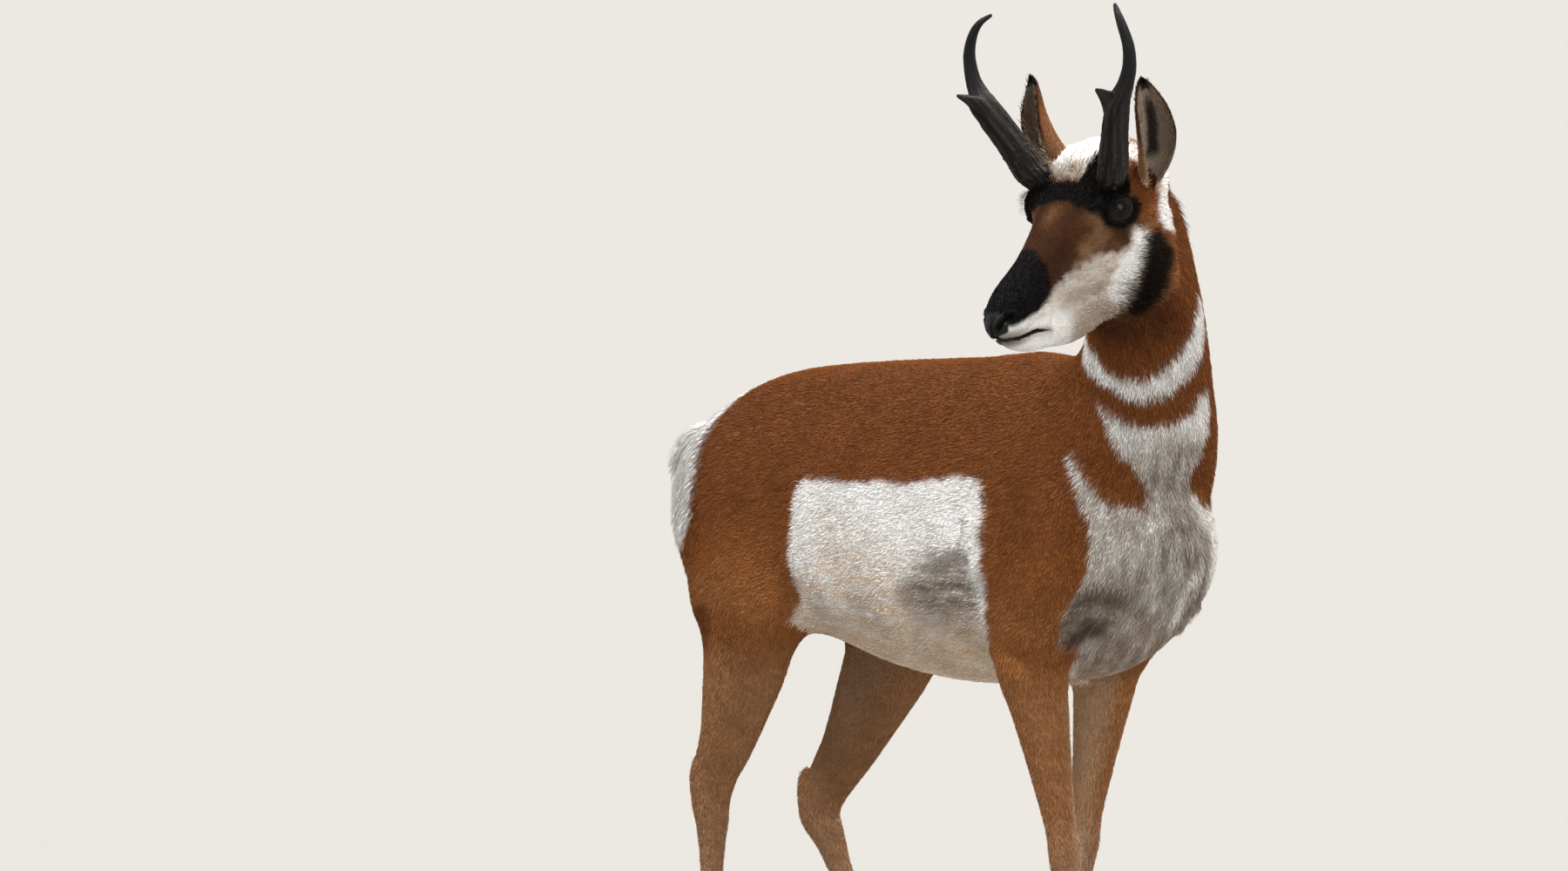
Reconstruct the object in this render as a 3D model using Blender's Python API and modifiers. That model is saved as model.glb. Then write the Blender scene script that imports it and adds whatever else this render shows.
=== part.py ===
"""A life-size pronghorn buck standing in mid-step, with its head turned to its right.

Run with: blender --background --python part.py

The frame is in metres: +X is the way the body faces, +Y its left side and +Z up. The soles of the
hooves stand at Z = 0, and the finished model is moved so that the origin is under the middle of its box.

The flesh is a set of lofts (trunk, neck, head, jaw and four legs) with a few muscle masses, merged
into one skin by a voxel remesh and then parted by thin cuts into the pieces a person would name.
Horns, ears, eyes, tail and hooves are solids of their own, trimmed to meet that skin.
"""

import math

import bmesh
import bpy
import numpy as np
from mathutils import Matrix, Vector

# ---------------------------------------------------------------- driving dimensions, in metres
GAP = 0.0003  # clearance between pieces that meet
CUT = 0.0003  # thickness of the cuts that part the flesh
SKIN_VOXEL = 0.005
SKIN_SMOOTHING = 5
BODY_SMOOTHING = 45  # extra rounds on the big masses, which have no fine shape to lose
SKIN_TRIANGLES = 4050
RING_POINTS = 28

ELBOW_HEIGHT = 0.530
CARPUS_HEIGHT = 0.303
HOCK_HEIGHT = 0.357
FETLOCK_HEIGHT = 0.112
CORONET_HEIGHT = 0.046
CORONET_SLOPE = math.radians(17)

EYE_MIDPOINT = Vector((0.430, -0.168, 1.084))  # halfway between the two eyes
HEAD_YAW = math.radians(-78)  # the head is turned this far from the body's heading
HEAD_PITCH = math.radians(24)  # the mouth line points this far below level
EYE_RADIUS = 0.0205
EYE_SPACING = 0.0535  # from the head's middle plane to an eye's centre

# Trunk sections: x, top, bottom, half width, share of the height where it is widest, squareness.
TRUNK = (
    (-0.462, 0.730, 0.665, 0.026, 0.50, 2.0),
    (-0.446, 0.772, 0.628, 0.062, 0.50, 2.0),
    (-0.412, 0.804, 0.600, 0.090, 0.48, 2.0),
    (-0.350, 0.843, 0.575, 0.120, 0.46, 2.0),
    (-0.260, 0.868, 0.545, 0.139, 0.46, 2.1),
    (-0.150, 0.880, 0.524, 0.146, 0.46, 2.2),
    (-0.040, 0.888, 0.500, 0.154, 0.44, 2.2),
    (0.080, 0.895, 0.487, 0.153, 0.42, 2.2),
    (0.190, 0.905, 0.487, 0.143, 0.42, 2.1),
    (0.280, 0.878, 0.500, 0.127, 0.43, 2.0),
    (0.350, 0.812, 0.534, 0.112, 0.48, 2.0),
    (0.400, 0.755, 0.576, 0.088, 0.50, 2.0),
    (0.430, 0.718, 0.618, 0.056, 0.50, 2.0),
    (0.443, 0.695, 0.648, 0.024, 0.50, 2.0),
)

# Neck stations: centre x, y, z, half depth from throat to nape, half width, turn of the throat in degrees.
NECK = (
    (0.200, 0.000, 0.735, 0.150, 0.130, 0),
    (0.308, 0.010, 0.800, 0.126, 0.122, -18),
    (0.368, -0.008, 0.878, 0.104, 0.089, -36),
    (0.398, -0.032, 0.950, 0.093, 0.075, -50),
    (0.413, -0.064, 1.012, 0.091, 0.069, -66),
    (0.415, -0.092, 1.062, 0.081, 0.064, -76),
    (0.412, -0.108, 1.100, 0.060, 0.054, -78),
)

# Head sections along the mouth line from the eyes: ahead, widest level, half width, height above and
# depth below that level.
HEAD = (
    (0.2045, -0.0570, 0.0120, 0.0110, 0.0090),
    (0.1980, -0.0560, 0.0210, 0.0190, 0.0150),
    (0.1830, -0.0545, 0.0270, 0.0265, 0.0200),
    (0.1600, -0.0530, 0.0292, 0.0335, 0.0240),
    (0.1300, -0.0500, 0.0300, 0.0385, 0.0320),
    (0.0900, -0.0420, 0.0340, 0.0445, 0.0510),
    (0.0500, -0.0280, 0.0430, 0.0460, 0.0780),
    (0.0200, -0.0080, 0.0560, 0.0400, 0.0990),
    (0.0000, 0.0020, 0.0625, 0.0380, 0.1110),
    (-0.0300, 0.0020, 0.0625, 0.0530, 0.1160),
    (-0.0600, -0.0040, 0.0590, 0.0630, 0.1060),
    (-0.0900, -0.0100, 0.0560, 0.0600, 0.0860),
    (-0.1150, -0.0150, 0.0500, 0.0510, 0.0640),
    (-0.1350, -0.0200, 0.0330, 0.0310, 0.0430),
)

# The lower jaw, in the same terms.
JAW = (
    (0.1890, -0.0840, 0.0100, 0.0060, 0.0070),
    (0.1810, -0.0850, 0.0165, 0.0090, 0.0120),
    (0.1600, -0.0875, 0.0205, 0.0120, 0.0155),
    (0.1300, -0.0920, 0.0220, 0.0160, 0.0190),
    (0.0800, -0.1030, 0.0260, 0.0230, 0.0280),
    (0.0300, -0.1070, 0.0320, 0.0280, 0.0290),
    (-0.0200, -0.1040, 0.0390, 0.0300, 0.0290),
    (-0.0500, -0.0940, 0.0380, 0.0290, 0.0260),
    (-0.0750, -0.0820, 0.0260, 0.0180, 0.0150),
)

# Leg sections: place down the leg in joints (0 shoulder or hip, 1 elbow or stifle, 2 carpus or hock,
# 3 fetlock, 4 coronet), half depth front to back, half width, shift to the rear.
FORELEG = (
    (0.00, 0.088, 0.036, 0.000),
    (0.50, 0.088, 0.040, 0.000),
    (1.00, 0.059, 0.041, 0.000),
    (1.20, 0.044, 0.036, 0.000),
    (1.45, 0.0345, 0.029, 0.000),
    (1.72, 0.0260, 0.0235, 0.000),
    (1.90, 0.0215, 0.0210, 0.000),
    (2.00, 0.0230, 0.0235, 0.000),
    (2.12, 0.0205, 0.0205, 0.001),
    (2.32, 0.0158, 0.0148, 0.000),
    (2.70, 0.0150, 0.0142, 0.000),
    (2.90, 0.0175, 0.0168, 0.002),
    (3.00, 0.0205, 0.0192, 0.003),
    (3.35, 0.0165, 0.0172, 0.000),
    (3.75, 0.0180, 0.0195, 0.000),
    (4.00, 0.0205, 0.0215, 0.000),
    (4.60, 0.0190, 0.0200, 0.000),
)
HINDLEG = (
    (0.00, 0.145, 0.048, 0.000),
    (0.45, 0.126, 0.050, 0.006),
    (0.85, 0.113, 0.048, 0.020),
    (1.00, 0.101, 0.046, 0.023),
    (1.15, 0.085, 0.043, 0.016),
    (1.30, 0.069, 0.040, 0.008),
    (1.65, 0.0460, 0.0300, 0.002),
    (1.85, 0.0370, 0.0235, 0.007),
    (2.00, 0.0320, 0.0225, 0.003),
    (2.14, 0.0260, 0.0205, 0.000),
    (2.35, 0.0185, 0.0165, 0.000),
    (2.70, 0.0165, 0.0155, 0.000),
    (2.90, 0.0190, 0.0175, 0.002),
    (3.00, 0.0220, 0.0200, 0.003),
    (3.35, 0.0170, 0.0175, 0.000),
    (3.75, 0.0180, 0.0195, 0.000),
    (4.00, 0.0200, 0.0210, 0.000),
    (4.60, 0.0185, 0.0195, 0.000),
)

# Each leg's joints in x, y and z, from shoulder or hip to coronet, with its sections.
LEGS = {
    "foreleg_right": (
        (
            (0.285, -0.082, 0.680),
            (0.248, -0.083, ELBOW_HEIGHT),
            (0.290, -0.066, CARPUS_HEIGHT),
            (0.304, -0.061, FETLOCK_HEIGHT),
            (0.320, -0.060, CORONET_HEIGHT),
        ),
        FORELEG,
    ),
    "foreleg_left": (
        (
            (0.265, 0.080, 0.680),
            (0.203, 0.080, ELBOW_HEIGHT),
            (0.168, 0.070, CARPUS_HEIGHT),
            (0.152, 0.066, FETLOCK_HEIGHT),
            (0.167, 0.066, CORONET_HEIGHT),
        ),
        FORELEG,
    ),
    "hindleg_right": (
        (
            (-0.285, -0.080, 0.700),
            (-0.238, -0.099, 0.570),
            (-0.338, -0.087, HOCK_HEIGHT),
            (-0.352, -0.085, FETLOCK_HEIGHT),
            (-0.336, -0.085, CORONET_HEIGHT),
        ),
        HINDLEG,
    ),
    "hindleg_left": (
        (
            (-0.265, 0.080, 0.700),
            (-0.176, 0.099, 0.560),
            (-0.333, 0.087, HOCK_HEIGHT - 0.027),
            (-0.232, 0.084, FETLOCK_HEIGHT),
            (-0.214, 0.084, CORONET_HEIGHT),
        ),
        HINDLEG,
    ),
}
FORE_HOOF_LENGTH = 0.074
HIND_HOOF_LENGTH = 0.067
HOOF_WIDTH_SHARE = 0.37  # of a claw's length
HOOF_LEVELS = (0.0, 0.12, 0.5, 1.0)  # where a claw's rings are, as shares of the way up from the sole
HOOF_SIDES = 16
TOE_OUT = math.radians(6)
HEEL_BONE_PLACE = (-0.026, 0.022)  # behind and above the hock
HEEL_BONE_RADII = (0.0165, 0.0130, 0.036)
ORBIT_PLACE = (-0.002, 0.046, 0.003)
ORBIT_RADII = (0.033, 0.0245, 0.030)

# Muscle masses that stand out of the lofts: centre x, y (right side), z, radii, pitch in degrees.
MUSCLES = (
    (0.262, -0.092, 0.660, 0.082, 0.046, 0.135, 8),  # shoulder
    (0.328, -0.074, 0.652, 0.062, 0.040, 0.066, 0),  # point of the shoulder
    (0.374, -0.036, 0.646, 0.056, 0.044, 0.070, 0),  # breast
    (-0.300, -0.084, 0.690, 0.128, 0.054, 0.125, 0),  # haunch
    (-0.385, -0.062, 0.672, 0.049, 0.045, 0.095, 0),  # buttock
    (-0.347, -0.080, 0.608, 0.050, 0.040, 0.092, -15),  # hamstring
)

# Horn and its prong: ahead of the eyes' midpoint, outward, up, half depth front to back, half width.
HORN = (
    (-0.0250, 0.046, 0.012, 0.0240, 0.0165),
    (-0.0174, 0.056, 0.045, 0.0245, 0.0160),
    (-0.0115, 0.074, 0.092, 0.0240, 0.0140),
    (-0.0065, 0.095, 0.137, 0.0235, 0.0125),
    (-0.0095, 0.106, 0.158, 0.0150, 0.0110),
    (-0.0180, 0.119, 0.180, 0.0122, 0.0100),
    (-0.0285, 0.126, 0.202, 0.0105, 0.0088),
    (-0.0400, 0.119, 0.224, 0.0080, 0.0070),
    (-0.0475, 0.106, 0.239, 0.0055, 0.0050),
    (-0.0520, 0.095, 0.247, 0.0025, 0.0025),
)
PRONG = (
    (-0.0080, 0.087, 0.122, 0.0200, 0.0100),
    (0.0060, 0.096, 0.143, 0.0160, 0.0080),
    (0.0200, 0.101, 0.158, 0.0090, 0.0055),
    (0.0320, 0.103, 0.168, 0.0025, 0.0022),
)
HORN_RISE = {-1: 0.93, 1: 1.0}  # the right horn is a little shorter
HORN_VOXEL = 0.0018
HORN_TRIANGLES = 380

# Where head and neck part, ahead and up from the eyes' midpoint: nape, angle of the jaw, under the chin.
THROAT_LINE = ((-0.175, 0.120), (-0.055, -0.128), (0.160, -0.170))
THROAT_REACH = 0.16  # how far that cut goes to each side

# The flat cuts: middle (its y to each side where the cut is paired), the direction the cut is square to,
# and how far it reaches front to back and side to side.
SHOULDER_CUT = ((0.300, 0.0, 0.8475), (0.434, 0.0, 0.900), (0.46, 0.40))
ELBOW_CUT = ((0.235, 0.09, 0.482), (0.0, 0.0, 1.0), (0.20, 0.15))
THIGH_CUT = ((-0.290, 0.09, 0.515), (0.30, 0.0, 1.0), (0.44, 0.175))
CORONET_BLOCK = (0.11, 0.075, 0.10)

# Ear: root and tip ahead, outward and up from the eyes' midpoint.
EAR_ROOT = (-0.080, 0.043, -0.010)
EAR_TIP = (-0.080, 0.086, 0.137)
EAR_BOW = (0.012, 0.023)  # how far the ear's middle line bends ahead and outward
EAR_SHELL = 0.0045
EAR_OPENS = (0.60, 0.80)  # ahead and outward
EAR_COLUMNS = 8
# Share of the length, half width of the flattened sheet, half curl in degrees.
EAR = (
    (0.00, 0.032, 150),
    (0.12, 0.035, 140),
    (0.30, 0.039, 118),
    (0.50, 0.038, 96),
    (0.70, 0.031, 78),
    (0.86, 0.020, 62),
    (0.95, 0.011, 52),
    (1.00, 0.004, 45),
)

# Tail stations, in the same terms as a neck's without the turn.
TAIL = (
    (-0.400, 0.0, 0.772, 0.016, 0.024),
    (-0.446, 0.0, 0.784, 0.018, 0.029),
    (-0.478, 0.0, 0.764, 0.018, 0.033),
    (-0.491, 0.0, 0.730, 0.016, 0.031),
    (-0.494, 0.0, 0.696, 0.011, 0.021),
    (-0.492, 0.0, 0.674, 0.004, 0.008),
)

MATERIALS = {
    "coat": ((0.36, 0.15, 0.06), 0.85),
    "ear_coat": ((0.42, 0.24, 0.13), 0.85),
    "tail_coat": ((0.80, 0.76, 0.70), 0.85),
    "horn": ((0.020, 0.018, 0.017), 0.45),
    "hoof": ((0.030, 0.025, 0.022), 0.40),
    "eye": ((0.012, 0.007, 0.005), 0.08),
}


# ---------------------------------------------------------------- scene and mesh helpers
def clear_scene():
    for old in list(bpy.data.objects):
        bpy.data.objects.remove(old)


def new_collection(name):
    made = bpy.data.collections.new(name)
    bpy.context.scene.collection.children.link(made)
    return made


def make_material(name):
    colour, roughness = MATERIALS[name]
    made = bpy.data.materials.new(name)
    made.use_nodes = True
    shader = made.node_tree.nodes["Principled BSDF"]
    shader.inputs["Base Color"].default_value = (*colour, 1)
    shader.inputs["Roughness"].default_value = roughness
    return made


def object_of(name, mesh, collection, material=None):
    obj = bpy.data.objects.new(name, mesh)
    collection.objects.link(obj)
    if material is not None:
        mesh.materials.clear()
        mesh.materials.append(material)
    return obj


def smooth_rows(rows, steps):
    """A Catmull-Rom curve through rows of numbers, each span cut into this many steps."""
    rows = np.array(rows, float)
    padded = np.vstack([2 * rows[0] - rows[1], rows, 2 * rows[-1] - rows[-2]])
    made = []
    for i in range(len(rows) - 1):
        before, start, end, after = padded[i : i + 4]
        for t in np.arange(steps) / steps:
            made.append(
                0.5
                * (
                    2 * start
                    + (end - before) * t
                    + (2 * before - 5 * start + 4 * end - after) * t**2
                    + (3 * start - before - 3 * end + after) * t**3
                )
            )
    return np.array([*made, rows[-1]])


def oval(centre, side, up, half_width, top, bottom, power=2.0, count=RING_POINTS):
    """A closed ring whose upper and lower halves may differ, squarer as power grows past 2."""
    turn = np.arange(count) * 2 * math.pi / count
    across, rise = np.cos(turn), np.sin(turn)
    across = np.sign(across) * np.abs(across) ** (2 / power)
    rise = np.sign(rise) * np.abs(rise) ** (2 / power)
    height = np.where(rise > 0, top, bottom) * rise
    return np.outer(half_width * across, side) + np.outer(height, up) + np.array(centre)


def loft(name, rings, collection):
    """A closed skin through rings of equal count, with a fan over each end."""
    count = len(rings[0])
    skin = bmesh.new()
    grid = [[skin.verts.new(point) for point in ring] for ring in rings]
    for ring, following in zip(grid, grid[1:]):
        for i in range(count):
            skin.faces.new((ring[i], ring[(i + 1) % count], following[(i + 1) % count], following[i]))
    for ring in (grid[0], grid[-1]):
        middle = skin.verts.new(sum((v.co for v in ring), Vector()) / count)
        for i in range(count):
            skin.faces.new((ring[i], ring[(i + 1) % count], middle))
    bmesh.ops.recalc_face_normals(skin, faces=skin.faces)
    mesh = bpy.data.meshes.new(name)
    skin.to_mesh(mesh)
    skin.free()
    return object_of(name, mesh, collection)


def limb_rings(rows, front_of, count=RING_POINTS, steps=4):
    """Rings square to the path of the rows (x, y, z, half depth, half width, ...). front_of gives the
    direction that a ring's depth is measured along."""
    rows = smooth_rows(rows, steps)
    along = np.gradient(rows[:, :3], axis=0)
    rings = []
    for row, step in zip(rows, along):
        tangent = Vector(step).normalized()
        front = Vector(front_of(row))
        front = (front - tangent * front.dot(tangent)).normalized()
        side = tangent.cross(front)
        rings.append(oval(row[:3], side, front, row[4], row[3], row[3], 2.0, count))
    return rings


def evaluated_mesh(obj, name):
    """The object's mesh with its modifiers and place applied."""
    bpy.context.view_layer.update()
    graph = bpy.context.evaluated_depsgraph_get()
    mesh = bpy.data.meshes.new_from_object(obj.evaluated_get(graph), depsgraph=graph)
    mesh.name = name
    mesh.transform(obj.matrix_world)
    return mesh


def joined(name, parts, collection):
    """One object that holds the closed surfaces of all the parts, which are removed."""
    skin = bmesh.new()
    for part in parts:
        skin.from_mesh(evaluated_mesh(part, part.name))
        bpy.data.objects.remove(part)
    mesh = bpy.data.meshes.new(name)
    skin.to_mesh(mesh)
    skin.free()
    return object_of(name, mesh, collection)


def merged(obj, voxel, smoothing, collection):
    """The union of the object's closed surfaces as one skin, with its hollows eased."""
    remesh = obj.modifiers.new("union", "REMESH")
    remesh.mode = "VOXEL"
    remesh.voxel_size = voxel
    soften = obj.modifiers.new("soften", "SMOOTH")
    soften.factor = 0.5
    soften.iterations = smoothing
    mesh = evaluated_mesh(obj, obj.name)
    bpy.data.objects.remove(obj)
    return object_of(mesh.name, mesh, collection)


def thinned(obj, triangles, collection):
    """The same surface in about this many triangles."""
    thin = obj.modifiers.new("thin", "DECIMATE")
    thin.ratio = triangles / (2 * len(obj.data.polygons))
    mesh = evaluated_mesh(obj, obj.name)
    bpy.data.objects.remove(obj)
    return object_of(mesh.name, mesh, collection)


def ease_body(skin):
    """Eases the joins between the trunk's masses, and leaves the head and the lower legs as they are."""
    points = np.array([vert.co for vert in skin.data.vertices])
    above_legs = np.clip((points[:, 2] - 0.47) / 0.06, 0, 1)
    from_head = np.linalg.norm(points - np.array(EYE_MIDPOINT), axis=1)
    weights = above_legs * np.clip((from_head - 0.17) / 0.08, 0, 1)
    group = skin.vertex_groups.new(name="body")
    for index in np.flatnonzero(weights):
        group.add([int(index)], float(weights[index]), "REPLACE")
    ease = skin.modifiers.new("ease", "SMOOTH")
    ease.factor = 0.5
    ease.iterations = BODY_SMOOTHING
    ease.vertex_group = group.name


def cut_with(obj, cutter, folded=False):
    """The Boolean difference of two meshes, left on the object as a modifier. folded is for a cutter
    whose surface may cross itself in its creases."""
    cutter.hide_render = True
    cutter.display_type = "WIRE"
    boolean = obj.modifiers.new("cut by " + cutter.name, "BOOLEAN")
    boolean.operation = "DIFFERENCE"
    boolean.solver = "MANIFOLD" if folded else "EXACT"
    boolean.object = cutter


def slab(name, centre, normal, across, size, collection):
    """A thin box square to normal. across is the direction of its first side; size holds its sides."""
    normal = Vector(normal).normalized()
    across = Vector(across)
    across = (across - normal * across.dot(normal)).normalized()
    turn = Matrix((across, normal.cross(across), normal)).transposed()
    bpy.ops.mesh.primitive_cube_add(size=1)
    box = bpy.context.object
    box.name = name
    box.data.transform(Matrix.Translation(centre) @ turn.to_4x4() @ Matrix.Diagonal((*size, 1)))
    move_to(box, collection)
    return box


def ball(name, centre, turn, radii, segments, rings, collection):
    """An ellipsoid whose own axes are turned by the matrix turn."""
    bpy.ops.mesh.primitive_uv_sphere_add(segments=segments, ring_count=rings, radius=1)
    made = bpy.context.object
    made.name = name
    made.data.transform(Matrix.Translation(centre) @ turn.to_4x4() @ Matrix.Diagonal((*radii, 1)))
    move_to(made, collection)
    return made


def move_to(obj, collection):
    for owner in list(obj.users_collection):
        owner.objects.unlink(obj)
    collection.objects.link(obj)


def bodies_of(mesh):
    """The separate bodies of a mesh as sets of vertex numbers, the biggest first."""
    skin = bmesh.new()
    skin.from_mesh(mesh)
    left = set(skin.verts)
    bodies = []
    while left:
        found, edge = set(), [left.pop()]
        while edge:
            vert = edge.pop()
            found.add(vert.index)
            for link in vert.link_edges:
                other = link.other_vert(vert)
                if other in left:
                    left.discard(other)
                    edge.append(other)
        bodies.append(found)
    skin.free()
    return sorted(bodies, key=len, reverse=True)


def body_object(name, mesh, body, collection, material):
    """One body of a mesh as an object of its own."""
    skin = bmesh.new()
    skin.from_mesh(mesh)
    bmesh.ops.delete(skin, geom=[vert for vert in skin.verts if vert.index not in body], context="VERTS")
    made = bpy.data.meshes.new(name)
    skin.to_mesh(made)
    skin.free()
    made.shade_smooth()
    return object_of(name, made, collection, material)


def trimmed(obj, flesh, collection, material):
    """What is left of a piece outside the flesh, without the crumbs."""
    name = obj.name
    cut_with(obj, flesh, folded=True)
    mesh = evaluated_mesh(obj, name)
    bpy.data.objects.remove(obj)
    made = body_object(name, mesh, bodies_of(mesh)[0], collection, material)
    made.name = name
    return made


# ---------------------------------------------------------------- the head's own frame
HEADING = Vector((math.cos(HEAD_YAW), math.sin(HEAD_YAW), 0))
AHEAD = HEADING * math.cos(HEAD_PITCH) - Vector((0, 0, 1)) * math.sin(HEAD_PITCH)
CROWN = HEADING * math.sin(HEAD_PITCH) + Vector((0, 0, 1)) * math.cos(HEAD_PITCH)
LEFT = CROWN.cross(AHEAD)
HEAD_TURN = Matrix((AHEAD, LEFT, CROWN)).transposed()


def head_point(ahead, left, up):
    """A point in the head's frame, whose origin is halfway between the eyes."""
    return EYE_MIDPOINT + AHEAD * ahead + LEFT * left + CROWN * up


# ---------------------------------------------------------------- flesh
def trunk_loft(collection):
    rings = []
    for x, top, bottom, half_width, widest, power in smooth_rows(TRUNK, 3):
        level = bottom + (top - bottom) * widest
        heights = (top - level, level - bottom)
        rings.append(oval((x, 0, level), (0, 1, 0), (0, 0, 1), half_width, *heights, power))
    return loft("trunk_loft", rings, collection)


def neck_loft(collection):
    turns = smooth_rows([row[:3] + (row[5],) for row in NECK], 4)

    def throat(row):
        turn = math.radians(turns[np.argmin(np.abs(turns[:, :3] - row[:3]).sum(axis=1)), 3])
        return math.cos(turn), math.sin(turn), 0

    return loft("neck_loft", limb_rings([row[:5] for row in NECK], throat), collection)


def head_loft(name, rows, collection):
    rings = []
    for ahead, level, half_width, top, bottom in smooth_rows(rows, 3):
        rings.append(oval(head_point(ahead, 0, level), LEFT, CROWN, half_width, top, bottom, 2.1))
    return loft(name, rings, collection)


def leg_rows(joints, sections):
    """The leg's stations in space: each joint's place, then each section part of the way to the next."""
    places = [Vector(joint) for joint in joints]
    places.append(places[-1] + (places[-1] - places[-2]) * 0.5)
    rows = []
    for place, half_depth, half_width, back in sections:
        start = min(int(place), len(places) - 2)
        point = places[start].lerp(places[start + 1], place - start)
        rows.append((point.x - back, point.y, point.z, half_depth, half_width))
    return rows


def leg_loft(name, collection):
    joints, sections = LEGS[name]
    rings = limb_rings(leg_rows(joints, sections), lambda row: (1, 0, 0))
    return loft(name + "_loft", rings, collection)


def heel_bone(name, collection):
    """The point of the hock, which stands out behind the joint."""
    x, y, z = LEGS[name][0][2]
    behind, above = HEEL_BONE_PLACE
    return ball(name + "_hock", (x + behind, y, z + above), Matrix(), HEEL_BONE_RADII, 16, 10, collection)


def muscle(side, row, collection):
    x, y, z, depth, width, height, pitch = row
    turn = Matrix.Rotation(math.radians(pitch), 3, "Y")
    return ball("muscle", (x, -side * y, z), turn, (depth, width, height), 24, 14, collection)


def orbit(side, collection):
    """The bony rim that stands out round an eye."""
    ahead, out, up = ORBIT_PLACE
    return ball("orbit", head_point(ahead, side * out, up), HEAD_TURN, ORBIT_RADII, 20, 12, collection)


def make_flesh(shapes, cutters):
    parts = [trunk_loft(shapes), neck_loft(shapes), head_loft("head_loft", HEAD, shapes)]
    parts.append(head_loft("jaw_loft", JAW, shapes))
    parts += [leg_loft(name, shapes) for name in LEGS]
    parts += [heel_bone(name, shapes) for name in LEGS if name.startswith("hind")]
    parts += [orbit(side, shapes) for side in (-1, 1)]
    parts += [muscle(side, row, shapes) for row in MUSCLES for side in (-1, 1)]
    flesh = joined("flesh", parts, shapes)
    flesh = merged(flesh, SKIN_VOXEL, SKIN_SMOOTHING, shapes)
    ease_body(flesh)
    flesh = thinned(flesh, SKIN_TRIANGLES, shapes)
    for name in LEGS:
        cut_with(flesh, coronet_cutter(name, cutters))
    mesh = evaluated_mesh(flesh, "flesh")
    bpy.data.objects.remove(flesh)
    return object_of("flesh", mesh, shapes)


# ---------------------------------------------------------------- hooves
def hoof_frame(name):
    """Where a leg's coronet is, and the direction its toes point."""
    coronet = Vector(LEGS[name][0][-1])
    side = 1 if name.endswith("left") else -1
    toe = Vector((math.cos(TOE_OUT), side * math.sin(TOE_OUT), 0))
    return coronet, toe


def coronet_cutter(name, collection):
    """A box under the sloping plane where a leg ends and its hoof begins."""
    middle, toe = hoof_frame(name)
    normal = Vector((0, 0, 1)) * math.cos(CORONET_SLOPE) - toe * math.sin(CORONET_SLOPE)
    centre = middle - normal * (CORONET_BLOCK[2] / 2)
    return slab("coronet_" + name, centre, normal, toe, CORONET_BLOCK, collection)


def claw(name, leg, inner, material, collection):
    """One of the two claws of a hoof: a pointed sole at Z = 0 under a sloping top."""
    middle, toe = hoof_frame(leg)
    length = FORE_HOOF_LENGTH if leg.startswith("fore") else HIND_HOOF_LENGTH
    width = length * HOOF_WIDTH_SHARE
    leg_side = 1 if leg.endswith("left") else -1
    side = Vector((-toe.y, toe.x, 0)) * leg_side * (-1 if inner else 1)
    turn = np.arange(HOOF_SIDES) * 2 * math.pi / HOOF_SIDES
    ahead = np.cos(turn)
    outward = np.sin(turn)
    pointed = 1 - 0.50 * np.clip(ahead, 0, 1) ** 1.6  # narrows to the toe
    outward = outward * np.where(outward > 0, 0.5, 0.42) * pointed
    rings = []
    for share in HOOF_LEVELS:
        reach = length * (0.5 - 0.225 * share)
        spread = width * (1.0 - 0.12 * share) * (0.94 if share == 0 else 1)
        centre = middle + toe * (length * 0.20 * (1 - share) - 0.0015) + side * (width * 0.46)
        ring = []
        for forward, out in zip(ahead, outward):
            point = centre + toe * (reach * forward) + side * (spread * out)
            slope = (point - middle).dot(toe) * math.tan(CORONET_SLOPE)
            top = CORONET_HEIGHT + slope - GAP / math.cos(CORONET_SLOPE)
            ring.append((point.x, point.y, top * share))
        rings.append(np.array(ring))
    made = loft(name, rings, collection)
    made.data.materials.append(material)
    return made


# ---------------------------------------------------------------- horns, ears, eyes and tail
def horn(name, side, flesh, material, shapes, nodes):
    def shaft(part, rows):
        placed = []
        for ahead, out, up, half_depth, half_width in rows:
            point = head_point(ahead, side * out, up * HORN_RISE[side])
            placed.append((*point, half_depth, half_width))
        return loft(part, limb_rings(placed, lambda row: AHEAD, 20, 5), shapes)

    whole = joined(name, [shaft("blade", HORN), shaft("prong", PRONG)], shapes)
    whole = thinned(merged(whole, HORN_VOXEL, 3, shapes), HORN_TRIANGLES, shapes)
    whole.name = name
    return trimmed(whole, flesh, nodes, material)


def ear(name, side, flesh, material, shapes, nodes):
    """A leaf of hide rolled round the line from root to tip: each cross-section is an arc, closed at
    the root and opening towards the tip."""
    root, tip = (head_point(ahead, side * out, up) for ahead, out, up in (EAR_ROOT, EAR_TIP))
    bow = AHEAD * EAR_BOW[0] + LEFT * (side * EAR_BOW[1])
    line = (tip - root).normalized()
    opening = AHEAD * EAR_OPENS[0] + LEFT * (side * EAR_OPENS[1])
    opening = (opening - line * opening.dot(line)).normalized()
    across = line.cross(opening)
    skin = bmesh.new()
    grid = []
    for share, half_sheet, curl in smooth_rows(EAR, 2):
        curl = math.radians(curl)
        radius = half_sheet / curl
        centre = root.lerp(tip, share) + bow * math.sin(math.pi * share)
        row = []
        for turn in np.linspace(-curl, curl, EAR_COLUMNS + 1):
            rim = across * (radius * math.sin(turn)) - opening * (radius * math.cos(turn))
            row.append(skin.verts.new(centre + rim))
        grid.append(row)
    for row, following in zip(grid, grid[1:]):
        for i in range(EAR_COLUMNS):
            skin.faces.new((row[i], row[i + 1], following[i + 1], following[i]))
    mesh = bpy.data.meshes.new(name)
    skin.to_mesh(mesh)
    skin.free()
    made = object_of(name, mesh, shapes)
    wall = made.modifiers.new("wall", "SOLIDIFY")
    wall.thickness = EAR_SHELL
    wall.offset = 0
    return trimmed(made, flesh, nodes, material)


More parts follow.
